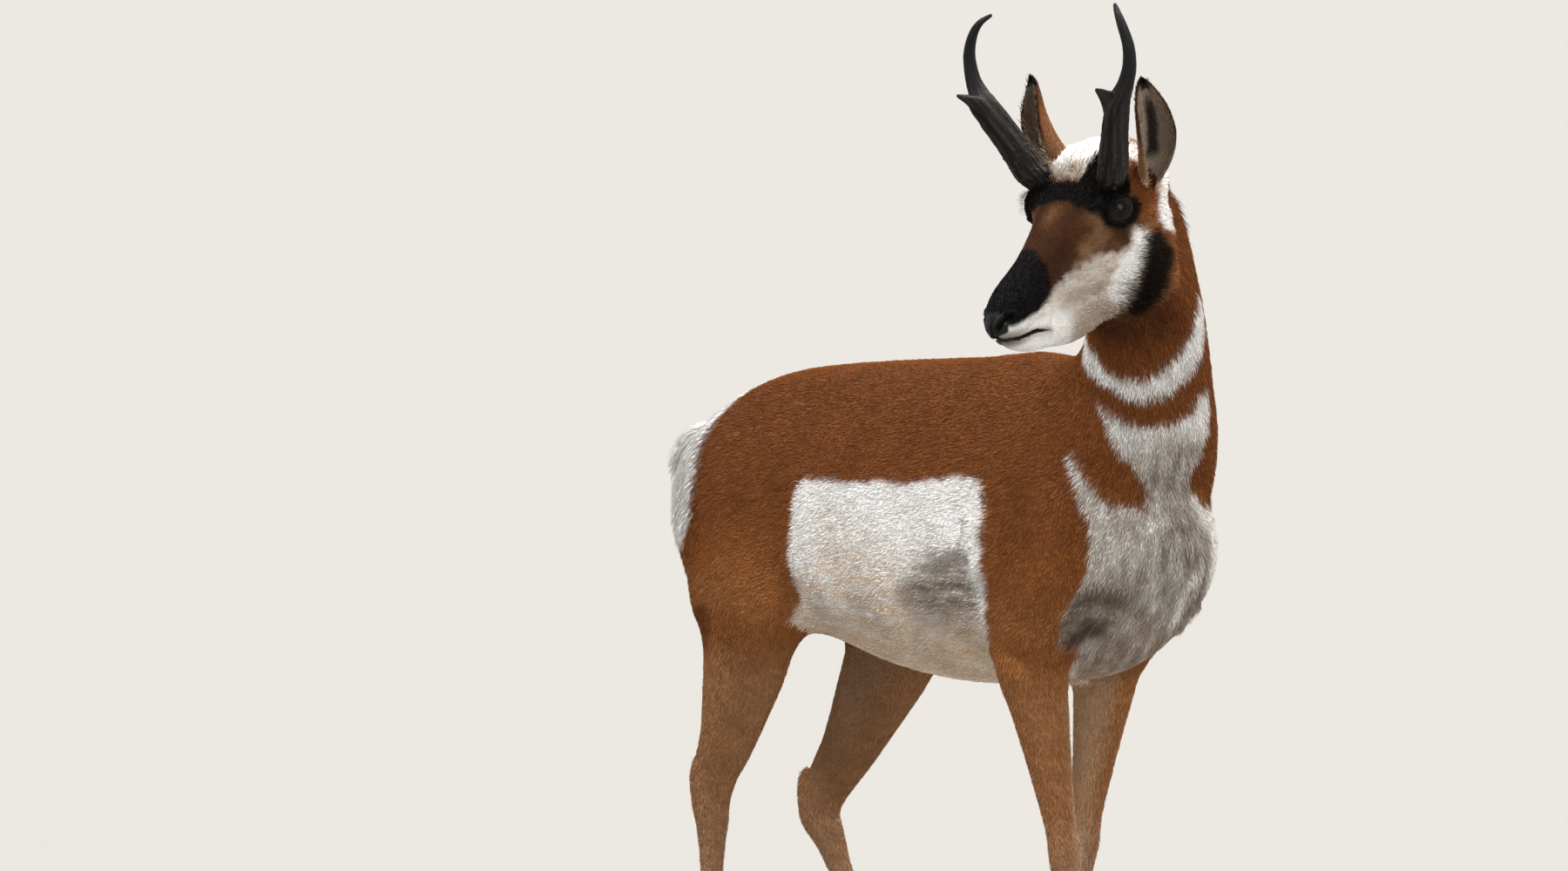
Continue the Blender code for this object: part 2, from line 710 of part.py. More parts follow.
def eye(name, side, radius, collection):
    return ball(name, head_point(0, side * EYE_SPACING, 0), HEAD_TURN, [radius] * 3, 16, 10, collection)


def tail(flesh, material, shapes, nodes):
    made = loft("tail", limb_rings(TAIL, lambda row: (1, 0, 0), 12, 2), shapes)
    return trimmed(made, flesh, nodes, material)


# ---------------------------------------------------------------- parting the flesh
def throat_cut(collection):
    """A thin bent sheet that parts head from neck: down behind the ears to the angle of the jaw, then
    forward under the jaw."""
    nape, angle, chin = (np.array(place) for place in THROAT_LINE)
    lean = np.array([0.67 * CUT, 0.91 * CUT])  # keeps both halves of the sheet as thick as the cut
    outline = [nape, angle, chin, chin - lean, angle - lean, nape - lean]
    sheet = bmesh.new()
    near, far = (
        [sheet.verts.new(head_point(ahead, reach, up)) for ahead, up in outline]
        for reach in (-THROAT_REACH, THROAT_REACH)
    )
    for end in (near, far):
        sheet.faces.new((end[0], end[1], end[4], end[5]))
        sheet.faces.new((end[1], end[2], end[3], end[4]))
    for i in range(6):
        sheet.faces.new((near[i], near[(i + 1) % 6], far[(i + 1) % 6], far[i]))
    bmesh.ops.recalc_face_normals(sheet, faces=sheet.faces)
    mesh = bpy.data.meshes.new("throat_cut")
    sheet.to_mesh(mesh)
    sheet.free()
    return object_of("throat_cut", mesh, collection)


def flat_cut(name, cut, side, cutters):
    """A thin box across the flesh, on one side of the middle where side isn't 0."""
    (x, y, z), normal, (long, wide) = cut
    return slab(name, (x, side * y, z), normal, (1, 0, 0), (long, wide, CUT), cutters)


def parting_slabs(cutters):
    """The thin cutters along which the flesh is parted."""
    slabs = [throat_cut(cutters), flat_cut("shoulder_cut", SHOULDER_CUT, 0, cutters)]
    for side in (-1, 1):
        slabs.append(flat_cut("elbow_cut", ELBOW_CUT, side, cutters))
        slabs.append(flat_cut("thigh_cut", THIGH_CUT, side, cutters))
    return slabs


def part_flesh(flesh, material, nodes, cutters):
    """The flesh as one object for each piece that the cuts leave, named by the nearest mark."""
    whole = object_of("flesh_to_part", flesh.data.copy(), cutters)
    for thin in parting_slabs(cutters):
        cut_with(whole, thin)
    mesh = evaluated_mesh(whole, "parted")
    bpy.data.objects.remove(whole)
    marks = {"trunk": Vector((0, 0, 0.7)), "neck": Vector((0.39, 0, 0.93)), "head": EYE_MIDPOINT}
    marks |= {name: Vector(joints[2]) for name, (joints, _) in LEGS.items()}
    made = {}
    for body in bodies_of(mesh)[: len(marks)]:
        middle = sum((mesh.vertices[i].co for i in body), Vector()) / len(body)
        name = min(marks, key=lambda mark: (marks[mark] - middle).length)
        made[name] = body_object(name, mesh, body, nodes, material)
    return made


def centre_on_origin(nodes):
    """Moves every node so that the box of them all stands centred over the origin."""
    bpy.context.view_layer.update()
    graph = bpy.context.evaluated_depsgraph_get()
    corners = []
    for obj in nodes.objects:
        evaluated = obj.evaluated_get(graph)
        mesh = evaluated.to_mesh()
        corners += [evaluated.matrix_world @ vert.co for vert in mesh.vertices]
        evaluated.to_mesh_clear()
    corners = np.array(corners)
    middle = (corners.min(axis=0) + corners.max(axis=0)) / 2
    shift = Vector((-middle[0], -middle[1], 0))
    for obj in bpy.data.objects:
        obj.location += shift
    print("moved by", tuple(round(value, 5) for value in shift))


def main():
    clear_scene()
    shapes = new_collection("shapes")
    cutters = new_collection("cutters")
    nodes = new_collection("pronghorn")
    materials = {name: make_material(name) for name in MATERIALS}

    flesh = make_flesh(shapes, cutters)
    flesh.name = "flesh_cutter"
    pieces = part_flesh(flesh, materials["coat"], nodes, cutters)
    swell = flesh.modifiers.new("clearance", "DISPLACE")
    swell.strength = 2 * GAP
    swell.mid_level = 0
    flesh.hide_render = True
    flesh.display_type = "WIRE"

    for side, word in ((-1, "right"), (1, "left")):
        eyeball = eye("eye_" + word, side, EYE_RADIUS, nodes)
        eyeball.data.materials.append(materials["eye"])
        eyeball.data.shade_smooth()
        cut_with(pieces["head"], eye("socket_" + word, side, EYE_RADIUS + GAP, cutters))
        horn("horn_" + word, side, flesh, materials["horn"], shapes, nodes)
        ear("ear_" + word, side, flesh, materials["ear_coat"], shapes, nodes)
    tail(flesh, materials["tail_coat"], shapes, nodes)
    for leg in LEGS:
        for inner in (False, True):
            name = leg.replace("leg", "_hoof") + ("_inner" if inner else "_outer")
            claw(name, leg, inner, materials["hoof"], nodes)
    centre_on_origin(nodes)


main()
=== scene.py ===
"""A life-size pronghorn buck as a still model: skin, coat, horns, hooves, ears and eyes round the CAD frame.

Every shape is worked out in the body's own frame: metres, +X the way the body faces, +Y its left side, +Z up
and the soles at Z = 0. One shift moves it into the row frame when it becomes an object.
"""

import logging
import math
from collections.abc import Callable, Sequence
from dataclasses import dataclass, field
from enum import Enum

import bmesh
import bpy
import numpy as np
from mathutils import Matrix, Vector


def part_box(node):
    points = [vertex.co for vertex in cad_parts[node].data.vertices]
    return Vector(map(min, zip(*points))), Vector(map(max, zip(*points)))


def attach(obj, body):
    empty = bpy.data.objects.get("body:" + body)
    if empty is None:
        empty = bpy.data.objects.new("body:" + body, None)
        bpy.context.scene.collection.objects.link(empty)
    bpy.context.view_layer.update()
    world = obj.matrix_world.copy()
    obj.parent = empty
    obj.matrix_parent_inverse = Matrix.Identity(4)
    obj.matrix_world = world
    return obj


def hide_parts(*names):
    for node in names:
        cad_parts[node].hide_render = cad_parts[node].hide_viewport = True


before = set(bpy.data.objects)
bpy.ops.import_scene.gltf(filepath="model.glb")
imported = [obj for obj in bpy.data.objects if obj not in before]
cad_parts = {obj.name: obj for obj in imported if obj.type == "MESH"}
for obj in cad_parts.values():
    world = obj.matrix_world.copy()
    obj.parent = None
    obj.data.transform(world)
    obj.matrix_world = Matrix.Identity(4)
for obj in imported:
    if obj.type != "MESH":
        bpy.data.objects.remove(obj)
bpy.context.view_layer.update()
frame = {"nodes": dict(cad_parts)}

Array = np.ndarray
LOG = logging.getLogger("pronghorn")
BODY = "root"
SEED = 20417
COAT_COLOUR = "Coat"  # the colour attribute that skin and hair share
HAIR_MAP = "OFBake"
GRAIN_MAP = "Grain"  # a map whose first axis runs round a piece and whose second runs along it, in metres


def mm(*rows: Sequence[float]) -> Array:
    """Rows of millimetres, as metres."""
    return np.array(rows) / 1000


# ---------------------------- measures
EYE_MIDPOINT = np.array([0.43, -0.168, 1.084])  # halfway between the two eyes
HEAD_YAW = math.radians(-78)
HEAD_PITCH = math.radians(24)
EYE_RADIUS = 0.0205
EYE_SPACING = 0.0535

# Trunk sections: x, top, bottom, half width, share of the height where it is widest, squareness.
TRUNK = (
    (-0.466, 0.742, 0.665, 0.03, 0.5, 2.0), (-0.45, 0.78, 0.628, 0.066, 0.5, 2.0),
    (-0.416, 0.808, 0.6, 0.092, 0.48, 2.0), (-0.35, 0.843, 0.575, 0.12, 0.46, 2.0),
    (-0.26, 0.868, 0.545, 0.139, 0.46, 2.1), (-0.15, 0.88, 0.524, 0.146, 0.46, 2.2),
    (-0.04, 0.888, 0.5, 0.154, 0.44, 2.2), (0.08, 0.895, 0.49, 0.153, 0.42, 2.2),
    (0.19, 0.905, 0.496, 0.143, 0.42, 2.1), (0.28, 0.88, 0.506, 0.127, 0.43, 2.0),
    (0.35, 0.812, 0.534, 0.112, 0.48, 2.0), (0.4, 0.755, 0.576, 0.088, 0.5, 2.0),
    (0.43, 0.718, 0.618, 0.056, 0.5, 2.0), (0.443, 0.695, 0.648, 0.024, 0.5, 2.0),
)

# Neck stations: centre x, y, z, half depth from throat to nape, half width, turn of the throat in degrees.
NECK = (
    (0.2, 0.0, 0.735, 0.15, 0.13, 0), (0.308, 0.01, 0.8, 0.126, 0.122, -18),
    (0.368, -0.008, 0.878, 0.104, 0.089, -36), (0.398, -0.032, 0.95, 0.093, 0.075, -50),
    (0.412, -0.061, 1.012, 0.094, 0.069, -66), (0.414, -0.086, 1.062, 0.087, 0.064, -76),
    (0.411, -0.103, 1.1, 0.065, 0.054, -78),
)

# Head sections along the mouth line from the eyes: ahead, widest level, half width, height above and below.
HEAD = mm(
    (223.5, -62.5, 6, 6, 5), (220, -62.5, 11.8, 12, 8.5), (213, -61.5, 17.5, 18, 12.5),
    (202, -59, 22.5, 22.5, 17.5), (186, -55.5, 28, 28, 22), (160, -53, 30.6, 35, 26),
    (130, -50, 31.2, 39.8, 33), (90, -42, 34.8, 44.8, 51), (50, -28, 44.5, 46, 78), (20, -8, 56, 40, 99),
    (0, 2, 62.5, 38, 111), (-30, 2, 62.5, 53, 116), (-60, -4, 59, 63, 106), (-90, -10, 58.5, 60, 86),
    (-115, -15, 55.5, 51, 66), (-135, -20, 40.5, 31, 45),
)
JAW = mm(
    (206, -79, 9, 5, 5), (199, -81.5, 15, 8, 9), (190, -83.5, 19, 10, 15), (174, -86.5, 21.8, 12, 22),
    (150, -90, 23, 14.5, 27.5), (130, -93, 23.5, 16, 31), (80, -103, 27, 23, 37), (30, -107, 32.5, 28, 34),
    (-20, -104, 39, 30, 29), (-50, -94, 38, 29, 26), (-75, -82, 26, 18, 15),
)

# Leg sections: place down the leg in joints (0 shoulder or hip, 1 elbow or stifle, 2 carpus or hock,
# 3 fetlock, 4 coronet), half depth front to back, half width, shift to the rear.
FORELEG = (
    (0.0, 0.088, 0.036, 0.0), (0.5, 0.088, 0.04, 0.0), (1.0, 0.059, 0.041, 0.0), (1.2, 0.044, 0.036, 0.0),
    (1.45, 0.0345, 0.029, 0.0), (1.72, 0.026, 0.0235, 0.0), (1.9, 0.0215, 0.021, 0.0),
    (2.0, 0.023, 0.0235, 0.0), (2.12, 0.0205, 0.0205, 0.001), (2.32, 0.0158, 0.0148, 0.0),
    (2.7, 0.015, 0.0142, 0.0), (2.9, 0.0175, 0.0168, 0.002), (3.0, 0.0205, 0.0192, 0.003),
    (3.35, 0.0165, 0.0172, 0.0), (3.75, 0.018, 0.0195, 0.0), (4.0, 0.0205, 0.0215, 0.0),
    (4.6, 0.019, 0.02, 0.0),
)
HINDLEG = (
    (0.0, 0.145, 0.048, 0.0), (0.45, 0.126, 0.05, 0.006), (0.85, 0.113, 0.048, 0.02),
    (1.0, 0.101, 0.046, 0.023), (1.15, 0.085, 0.043, 0.016), (1.3, 0.069, 0.04, 0.008),
    (1.65, 0.046, 0.03, 0.002), (1.85, 0.037, 0.0235, 0.007), (2.0, 0.032, 0.0225, 0.003),
    (2.14, 0.026, 0.0205, 0.0), (2.35, 0.0185, 0.0165, 0.0), (2.7, 0.0165, 0.0155, 0.0),
    (2.9, 0.019, 0.0175, 0.002), (3.0, 0.022, 0.02, 0.003), (3.35, 0.017, 0.0175, 0.0),
    (3.75, 0.018, 0.0195, 0.0), (4.0, 0.02, 0.021, 0.0), (4.6, 0.0185, 0.0195, 0.0),
)
CORONET_HEIGHT = 0.046
# Where parts give way to one another: heights of the legs' tops and the belly, x of neck's and tail's bases.
LEG_TOP, BELLY, NECK_BASE, TAIL_BASE = 0.545, 0.49, 0.27, -0.45
RUMP_FRONT = -0.335  # x of the front edge of the rump's piece of coat
LEG_MIDDLE = 0.072  # distance of the legs' middle planes from the body's
LEG_FREE = 0.47  # height under which the legs keep the shape of their lofts
# Each leg's joints from shoulder or hip down to the coronet.
LEGS = {
    "foreleg_right": mm((285, -82, 680), (248, -83, 530), (290, -66, 303), (304, -61, 112), (320, -60, 46)),
    "foreleg_left": mm((265, 80, 680), (203, 80, 530), (168, 70, 303), (152, 66, 112), (167, 66, 46)),
    "hindleg_right": mm(
        (-285, -80, 700), (-238, -99, 570), (-350, -87, 330), (-355, -85, 112), (-339, -85, 46),
    ),
    "hindleg_left": mm((-265, 80, 700), (-180, 99, 560), (-350, 87, 306), (-238, 84, 112), (-220, 84, 46)),
}

# Muscle masses: centre x, y (right side), z, radii, pitch in degrees.
MUSCLES = (
    (0.262, -0.092, 0.66, 0.082, 0.046, 0.135, 8),  # shoulder
    (0.328, -0.074, 0.652, 0.062, 0.04, 0.066, 0),  # point of the shoulder
    (0.374, -0.036, 0.646, 0.056, 0.044, 0.07, 0),  # breast
    (-0.3, -0.084, 0.69, 0.128, 0.054, 0.125, 0),  # haunch
    (-0.385, -0.062, 0.672, 0.049, 0.045, 0.095, 0),  # buttock
    (-0.347, -0.08, 0.608, 0.05, 0.04, 0.092, -15),  # hamstring
)
HEEL_BONE = (-0.026, 0.022, (0.0165, 0.013, 0.036))  # behind and above the hock, radii
ORBIT = (-0.002, 0.046, 0.003, (0.033, 0.0245, 0.03))  # ahead, outward, up, radii

# Horn and its prong: ahead of the eyes' midpoint, outward, up, half depth front to back, half width.
HORN = mm(
    (-8, 51, 12.4, 24, 17.5), (-5.9, 65.1, 56.3, 22.8, 16), (-3.9, 79.7, 93.8, 20.8, 14.2),
    (-2.5, 98.5, 136.7, 19, 12.4), (-10, 112.8, 162.1, 12, 9.2), (-17.1, 119.6, 183, 9.2, 7.8),
    (-23.5, 120.2, 205.5, 7.9, 6.8), (-30.4, 113.3, 227.6, 6.4, 5.6), (-38.8, 104.7, 240.6, 4.5, 4.1),
    (-51.1, 93.9, 246.2, 2.2, 2.2),
)
PRONG = mm(
    (-2, 93, 118, 18.5, 10.4), (8, 98, 142, 14.5, 8.6), (20.5, 101, 160, 8, 5.5), (37, 105, 176, 1.6, 1.6),
)
HORN_RISE = {-1: 0.93, 1: 1.0}
EAR_OPENS = {-1: (0.92, 0.39), 1: (0.6, 0.8)}  # ahead and outward; the right ear is turned forward

# Where head and neck part, ahead and up from the eyes' midpoint: nape, angle of the jaw, under the chin.
THROAT_LINE = mm((-175, 120), (-55, -128), (160, -170))

TAIL = mm(
    (-400, 0, 772, 16, 24), (-450, 0, 778, 19, 32), (-486, 0, 756, 19, 36), (-502, 0, 734, 17, 35),
    (-504, 0, 696, 12, 25), (-500, 0, 668, 4, 10),
)


class Side(Enum):
    """The animal's own right and left, with the sign of +Y."""

    RIGHT = -1
    LEFT = 1

    @property
    def word(self) -> str:
        """The side as the CAD nodes spell it."""
        return self.name.lower()


class Part(Enum):
    """The stretches of the body that hair, colour and the skin's unwrap are laid out by."""

    TRUNK = 0
    NECK = 1
    HEAD = 2
    FORELEG_RIGHT = 3
    FORELEG_LEFT = 4
    HINDLEG_RIGHT = 5
    HINDLEG_LEFT = 6
    TAIL = 7


# ---------------------------- numbers
def unit(vectors: Array) -> Array:
    """The vectors at length one."""
    return vectors / np.maximum(np.linalg.norm(vectors, axis=-1, keepdims=True), 1e-12)


def ease(low: float, high: float, value: Array) -> Array:
    """0 at low, 1 at high and 3t^2 - 2t^3 between; low may be the greater of the two."""
    share = np.clip((value - low) / (high - low), 0, 1)
    return share * share * (3 - 2 * share)


def bell(distance: Array, width: float) -> Array:
    """exp(-(d / w)^2), a soft bump of that half width."""
    return np.exp(-((distance / width) ** 2))


def dots(first: Array, second: Array) -> Array:
    """Row by row dot products."""
    return (first * second).sum(axis=-1)


def ripple(points: Array, size: float, seed: int) -> Array:
    """Smooth noise of about -1 to 1: the mean of sines in random directions with waves of about this size.

    Args:
        points: places to read it at, one row each.
        size: length of its waves.
        seed: which noise.

    Returns:
        One number for each point.
    """
    random = np.random.default_rng(seed)
    waves = unit(random.normal(size=(14, 3))) * random.uniform(0.6, 1.6, (14, 1)) * (2 * math.pi / size)
    phases = random.uniform(0, 2 * math.pi, 14)
    return np.sin(points @ waves.T + phases).mean(axis=1) * 2.6


def smooth_rows(rows: Sequence, steps: int) -> Array:
    """A Catmull-Rom curve through rows of numbers, each span cut into this many steps.

    Args:
        rows: what the curve passes through.
        steps: cuts of each span.

    Returns:
        The curve's rows, the last one included.
    """
    rows = np.array(rows, float)
    padded = np.vstack([2 * rows[0] - rows[1], rows, 2 * rows[-1] - rows[-2]])
    before, start, end, after = (padded[i : i + len(rows) - 1, None, :] for i in range(4))
    t = (np.arange(steps) / steps)[None, :, None]
    curve = 0.5 * (
        2 * start
        + (end - before) * t
        + (2 * before - 5 * start + 4 * end - after) * t**2
        + (3 * start - before - 3 * end + after) * t**3
    )
    return np.vstack([curve.reshape(-1, rows.shape[1]), rows[-1]])


def inside_by(x: Array, y: Array, outline: Sequence[tuple[float, float]]) -> Array:
    """Signed distance to a closed outline, above 0 inside.

    The distance is the least of those to its edges; the sign comes from how many edges a ray along x crosses.

    Args:
        x: first coordinate of each point.
        y: second coordinate of each point.
        outline: the outline's corners in order.

    Returns:
        One distance for each point.
    """
    corners = np.array(outline, float)
    nearest = np.full(x.shape, 9.0)
    inside = np.zeros(x.shape, bool)
    for (ax, ay), (bx, by) in zip(corners, np.roll(corners, -1, axis=0)):
        ex, ey = bx - ax, by - ay
        share = np.clip(((x - ax) * ex + (y - ay) * ey) / (ex * ex + ey * ey), 0, 1)
        nearest = np.minimum(nearest, np.hypot(x - ax - share * ex, y - ay - share * ey))
        if by != ay:
            inside ^= ((ay > y) != (by > y)) & (x < ex * (y - ay) / ey + ax)
    return np.where(inside, nearest, -nearest)


def folded(points: Array) -> Array:
    """Points with their second coordinate made positive, so that one rule serves both sides."""
    return points * [1, 0, 1] + np.abs(points) * [0, 1, 0]


def swung(lies: Array, normals: Array, angle: Array) -> Array:
    """Lies turned by an angle each round their normals: v cos(a) + (n x v) sin(a)."""
    return lies * np.cos(angle)[:, None] + np.cross(normals, lies) * np.sin(angle)[:, None]


def from_line(points: Array, line: Sequence) -> Array:
    """Distance from each point to an open line of straight runs, in as many dimensions as the points have.

    Args:
        points: one row each.
        line: its corners in order.

    Returns:
        One distance for each point.
    """
    corners = np.array(line, float)
    nearest = np.full(len(points), 9.0)
    for start, end in zip(corners, corners[1:]):
        run = end - start
        share = np.clip((points - start) @ run / (run @ run), 0, 1)
        nearest = np.minimum(nearest, np.linalg.norm(points - start - share[:, None] * run, axis=1))
    return nearest


# ---------------------------- surfaces
@dataclass
class Surface:
    """Points with the four-sided and three-sided faces between them."""

    points: Array
    quads: Array = field(default_factory=lambda: np.zeros((0, 4), int))
    tris: Array = field(default_factory=lambda: np.zeros((0, 3), int))

    @staticmethod
    def tube(rings: Array) -> "Surface":
        """A closed skin through rings of equal count (stations, points, 3), with a fan over each end.

        Args:
            rings: stations, points round each, 3.

        Returns:
            The closed surface, facing outwards.
        """
        stations, count = rings.shape[:2]
        index = np.arange(stations * count).reshape(stations, count)
        after = np.roll(index, -1, axis=1)
        quads = np.stack([index[:-1], after[:-1], after[1:], index[1:]], axis=-1).reshape(-1, 4)
        first, last = np.full(count, stations * count), np.full(count, stations * count + 1)
        near = np.stack([after[0], index[0], first], axis=-1)
        far = np.stack([index[-1], after[-1], last], axis=-1)
        ends = [rings[0].mean(axis=0), rings[-1].mean(axis=0)]
        return Surface(np.vstack([rings.reshape(-1, 3), *ends]), quads, np.vstack([near, far])).outward()

    @staticmethod
    def ball(centre: Array, axes: Array, radii: Sequence[float], count: int = 24) -> "Surface":
        """An ellipsoid: rings of sin(v) round its third axis at height cos(v).

        Args:
            centre: its middle.
            axes: its three directions, one row each.
            radii: one along each direction.
            count: points in a ring.

        Returns:
            The closed surface.
        """
        tilt = np.linspace(0, math.pi, count // 2 + 1)[1:-1, None]
        turn = (np.arange(count) * 2 * math.pi / count)[None, :]
        level = np.cos(tilt) + 0 * turn
        shape = np.stack([np.sin(tilt) * np.cos(turn), np.sin(tilt) * np.sin(turn), level], axis=-1)
        rings = np.array(centre) + (shape * np.array(radii)) @ np.array(axes)
        made = Surface.tube(rings)
        poles = np.array([[0, 0, 1], [0, 0, -1]]) * np.array(radii)
        made.points[-2:] = np.array(centre) + poles @ np.array(axes)
        return made

    @staticmethod
    def joined(parts: Sequence["Surface"]) -> "Surface":
        """All the parts as one set of points and faces.

        Args:
            parts: surfaces, which may overlap.

        Returns:
            One surface.
        """
        starts = np.cumsum([0] + [len(part.points) for part in parts[:-1]])
        return Surface(
            np.vstack([part.points for part in parts]),
            np.vstack([part.quads + start for part, start in zip(parts, starts)]),
            np.vstack([part.tris + start for part, start in zip(parts, starts)]),
        )

    @staticmethod
    def of(mesh: bpy.types.Mesh) -> "Surface":
        """The points and faces of a mesh, whose faces all have three or four sides.

        Args:
            mesh: what to read.

        Returns:
            The surface.
        """
        points = np.empty(len(mesh.vertices) * 3)
        mesh.vertices.foreach_get("co", points)
        sides = np.empty(len(mesh.polygons), int)
        mesh.polygons.foreach_get("loop_total", sides)
        starts = np.empty(len(mesh.polygons), int)
        mesh.polygons.foreach_get("loop_start", starts)
        corners = np.empty(len(mesh.loops), int)
        mesh.loops.foreach_get("vertex_index", corners)
        quads, tris = (corners[starts[sides == n][:, None] + np.arange(n)] for n in (4, 3))
        return Surface(points.reshape(-1, 3), quads, tris)

    def mesh(self, name: str) -> bpy.types.Mesh:
        """These faces as a Blender mesh.

        Args:
            name: the mesh's name.

        Returns:
            The mesh.
        """
        made = bpy.data.meshes.new(name)
        made.from_pydata(self.points.tolist(), [], self.quads.tolist() + self.tris.tolist())
        made.update()
        return made

    def outward(self) -> "Surface":
        """The same closed surface with its faces turned so that the volume inside them is above 0.

        Returns:
            The surface.
        """
        a, b, c = (self.points[self.all_tris()[:, i]] - self.points[0] for i in range(3))
        if dots(a, np.cross(b, c)).sum() < 0:
            return Surface(self.points, self.quads[:, ::-1], self.tris[:, ::-1])
        return self

    def all_tris(self) -> Array:
        """Every face in triangles, quads split along their first diagonal."""
        return np.vstack([self.quads[:, [0, 1, 2]], self.quads[:, [0, 2, 3]], self.tris])

    def normals(self) -> Array:
        """The mean direction that the faces round each point look in, weighted by area.

        Returns:
            A unit vector for each point.
        """
        tris = self.all_tris()
        a, b, c = (self.points[tris[:, i]] for i in range(3))
        across = np.cross(b - a, c - a)
        total = np.zeros_like(self.points)
        for i in range(3):
            for axis in range(3):
                total[:, axis] += np.bincount(tris[:, i], across[:, axis], len(self.points))
        return unit(total)

    def edges(self) -> Array:
        """Each pair of points that share an edge, once.

        Returns:
            A row of two point numbers for each edge.
        """
        loops = (self.quads, self.tris)
        pairs = [np.stack([faces, np.roll(faces, -1, axis=1)], axis=-1).reshape(-1, 2) for faces in loops]
        return np.unique(np.sort(np.vstack(pairs), axis=1), axis=0)

    def corners(self) -> Array:
        """The point at each face corner, quads first."""
        return np.concatenate([self.quads.ravel(), self.tris.ravel()])

    def eased(self, values: Array, weights: Array | float, rounds: int) -> Array:
        """Values on the points, moved half way to the mean of their neighbours', this many times over.

        Args:
            values: one row of numbers for each point.
            weights: how far each point takes part, 0 to 1.
            rounds: how many times.

        Returns:
            The new rows.
        """
        pairs = self.edges()
        count = len(self.points)
        near = np.maximum(np.bincount(pairs.ravel(), minlength=count), 1)
        values = np.array(values, float)
        pull = 0.5 * (np.zeros(count) + weights)
        for _ in range(rounds):
            for axis in range(values.shape[1]):
                column = values[:, axis]
                total = np.bincount(pairs[:, 0], column[pairs[:, 1]], count)
                total += np.bincount(pairs[:, 1], column[pairs[:, 0]], count)
                values[:, axis] = column + pull * (total / near - column)
        return values


def merged(surface: Surface, voxel: float) -> Surface:
    """The union of closed surfaces as one skin of small squares.

    Args:
        surface: closed surfaces that overlap.
        voxel: side of the squares.

    Returns:
        The one skin.
    """
    obj = bpy.data.objects.new("union", surface.mesh("union"))
    bpy.context.scene.collection.objects.link(obj)
    remesh = obj.modifiers.new("union", "REMESH")
    remesh.mode = "VOXEL"
    remesh.voxel_size = voxel
    bpy.context.view_layer.update()
    mesh = bpy.data.meshes.new_from_object(obj.evaluated_get(bpy.context.evaluated_depsgraph_get()))
    made = Surface.of(mesh)
    bpy.data.objects.remove(obj)
    bpy.data.meshes.remove(mesh)
    return made


def refined(surface: Surface, chosen: Callable[[Array], Array]) -> Surface:
    """The surface with each chosen square cut in four.

    Args:
        surface: the surface before.
        chosen: takes the middles of the faces and says which are cut.

    Returns:
        The finer surface, with threes and fours only.
    """
    mesh = surface.mesh("fine")
    middles = np.empty(len(mesh.polygons) * 3)
    mesh.polygons.foreach_get("center", middles)
    picked = np.flatnonzero(chosen(middles.reshape(-1, 3)))
    skin = bmesh.new()
    skin.from_mesh(mesh)
    skin.faces.ensure_lookup_table()
    edges = list({edge for i in picked for edge in skin.faces[i].edges})
    bmesh.ops.subdivide_edges(skin, edges=edges, cuts=1, use_grid_fill=True)
    bmesh.ops.triangulate(skin, faces=[face for face in skin.faces if len(face.verts) > 4])
    skin.to_mesh(mesh)
    skin.free()
    made = Surface.of(mesh)
    bpy.data.meshes.remove(mesh)
    return made


# ---------------------------- the head's frame
HEADING = np.array([math.cos(HEAD_YAW), math.sin(HEAD_YAW), 0])
AHEAD = HEADING * math.cos(HEAD_PITCH) - np.array([0, 0, math.sin(HEAD_PITCH)])
CROWN = HEADING * math.sin(HEAD_PITCH) + np.array([0, 0, math.cos(HEAD_PITCH)])
LEFT = np.cross(CROWN, AHEAD)
HEAD_AXES = np.array([AHEAD, LEFT, CROWN])


def to_space(places: Array) -> Array:
    """Head places (ahead, left, up) from the eyes' midpoint, as points in space."""
    return EYE_MIDPOINT + np.asarray(places, float) @ HEAD_AXES


def to_head(points: Array) -> Array:
    """Points in space as head places (ahead, left, up)."""
    return (points - EYE_MIDPOINT) @ HEAD_AXES.T


def head_share(points: Array) -> Array:
    """How far a point lies on the head's side of the bent throat line, in metres; under 0 on the neck.

    Args:
        points: places in space.

    Returns:
        One distance for each point.
    """
    ahead, _, up = to_head(points).T
    nape, angle, chin = THROAT_LINE
    (ax, ay), (bx, by) = unit(angle - nape), unit(chin - angle)
    from_nape = -(ahead - nape[0]) * ay + (up - nape[1]) * ax
    from_jaw = -(ahead - angle[0]) * by + (up - angle[1]) * bx
    return np.minimum(from_nape, from_jaw)


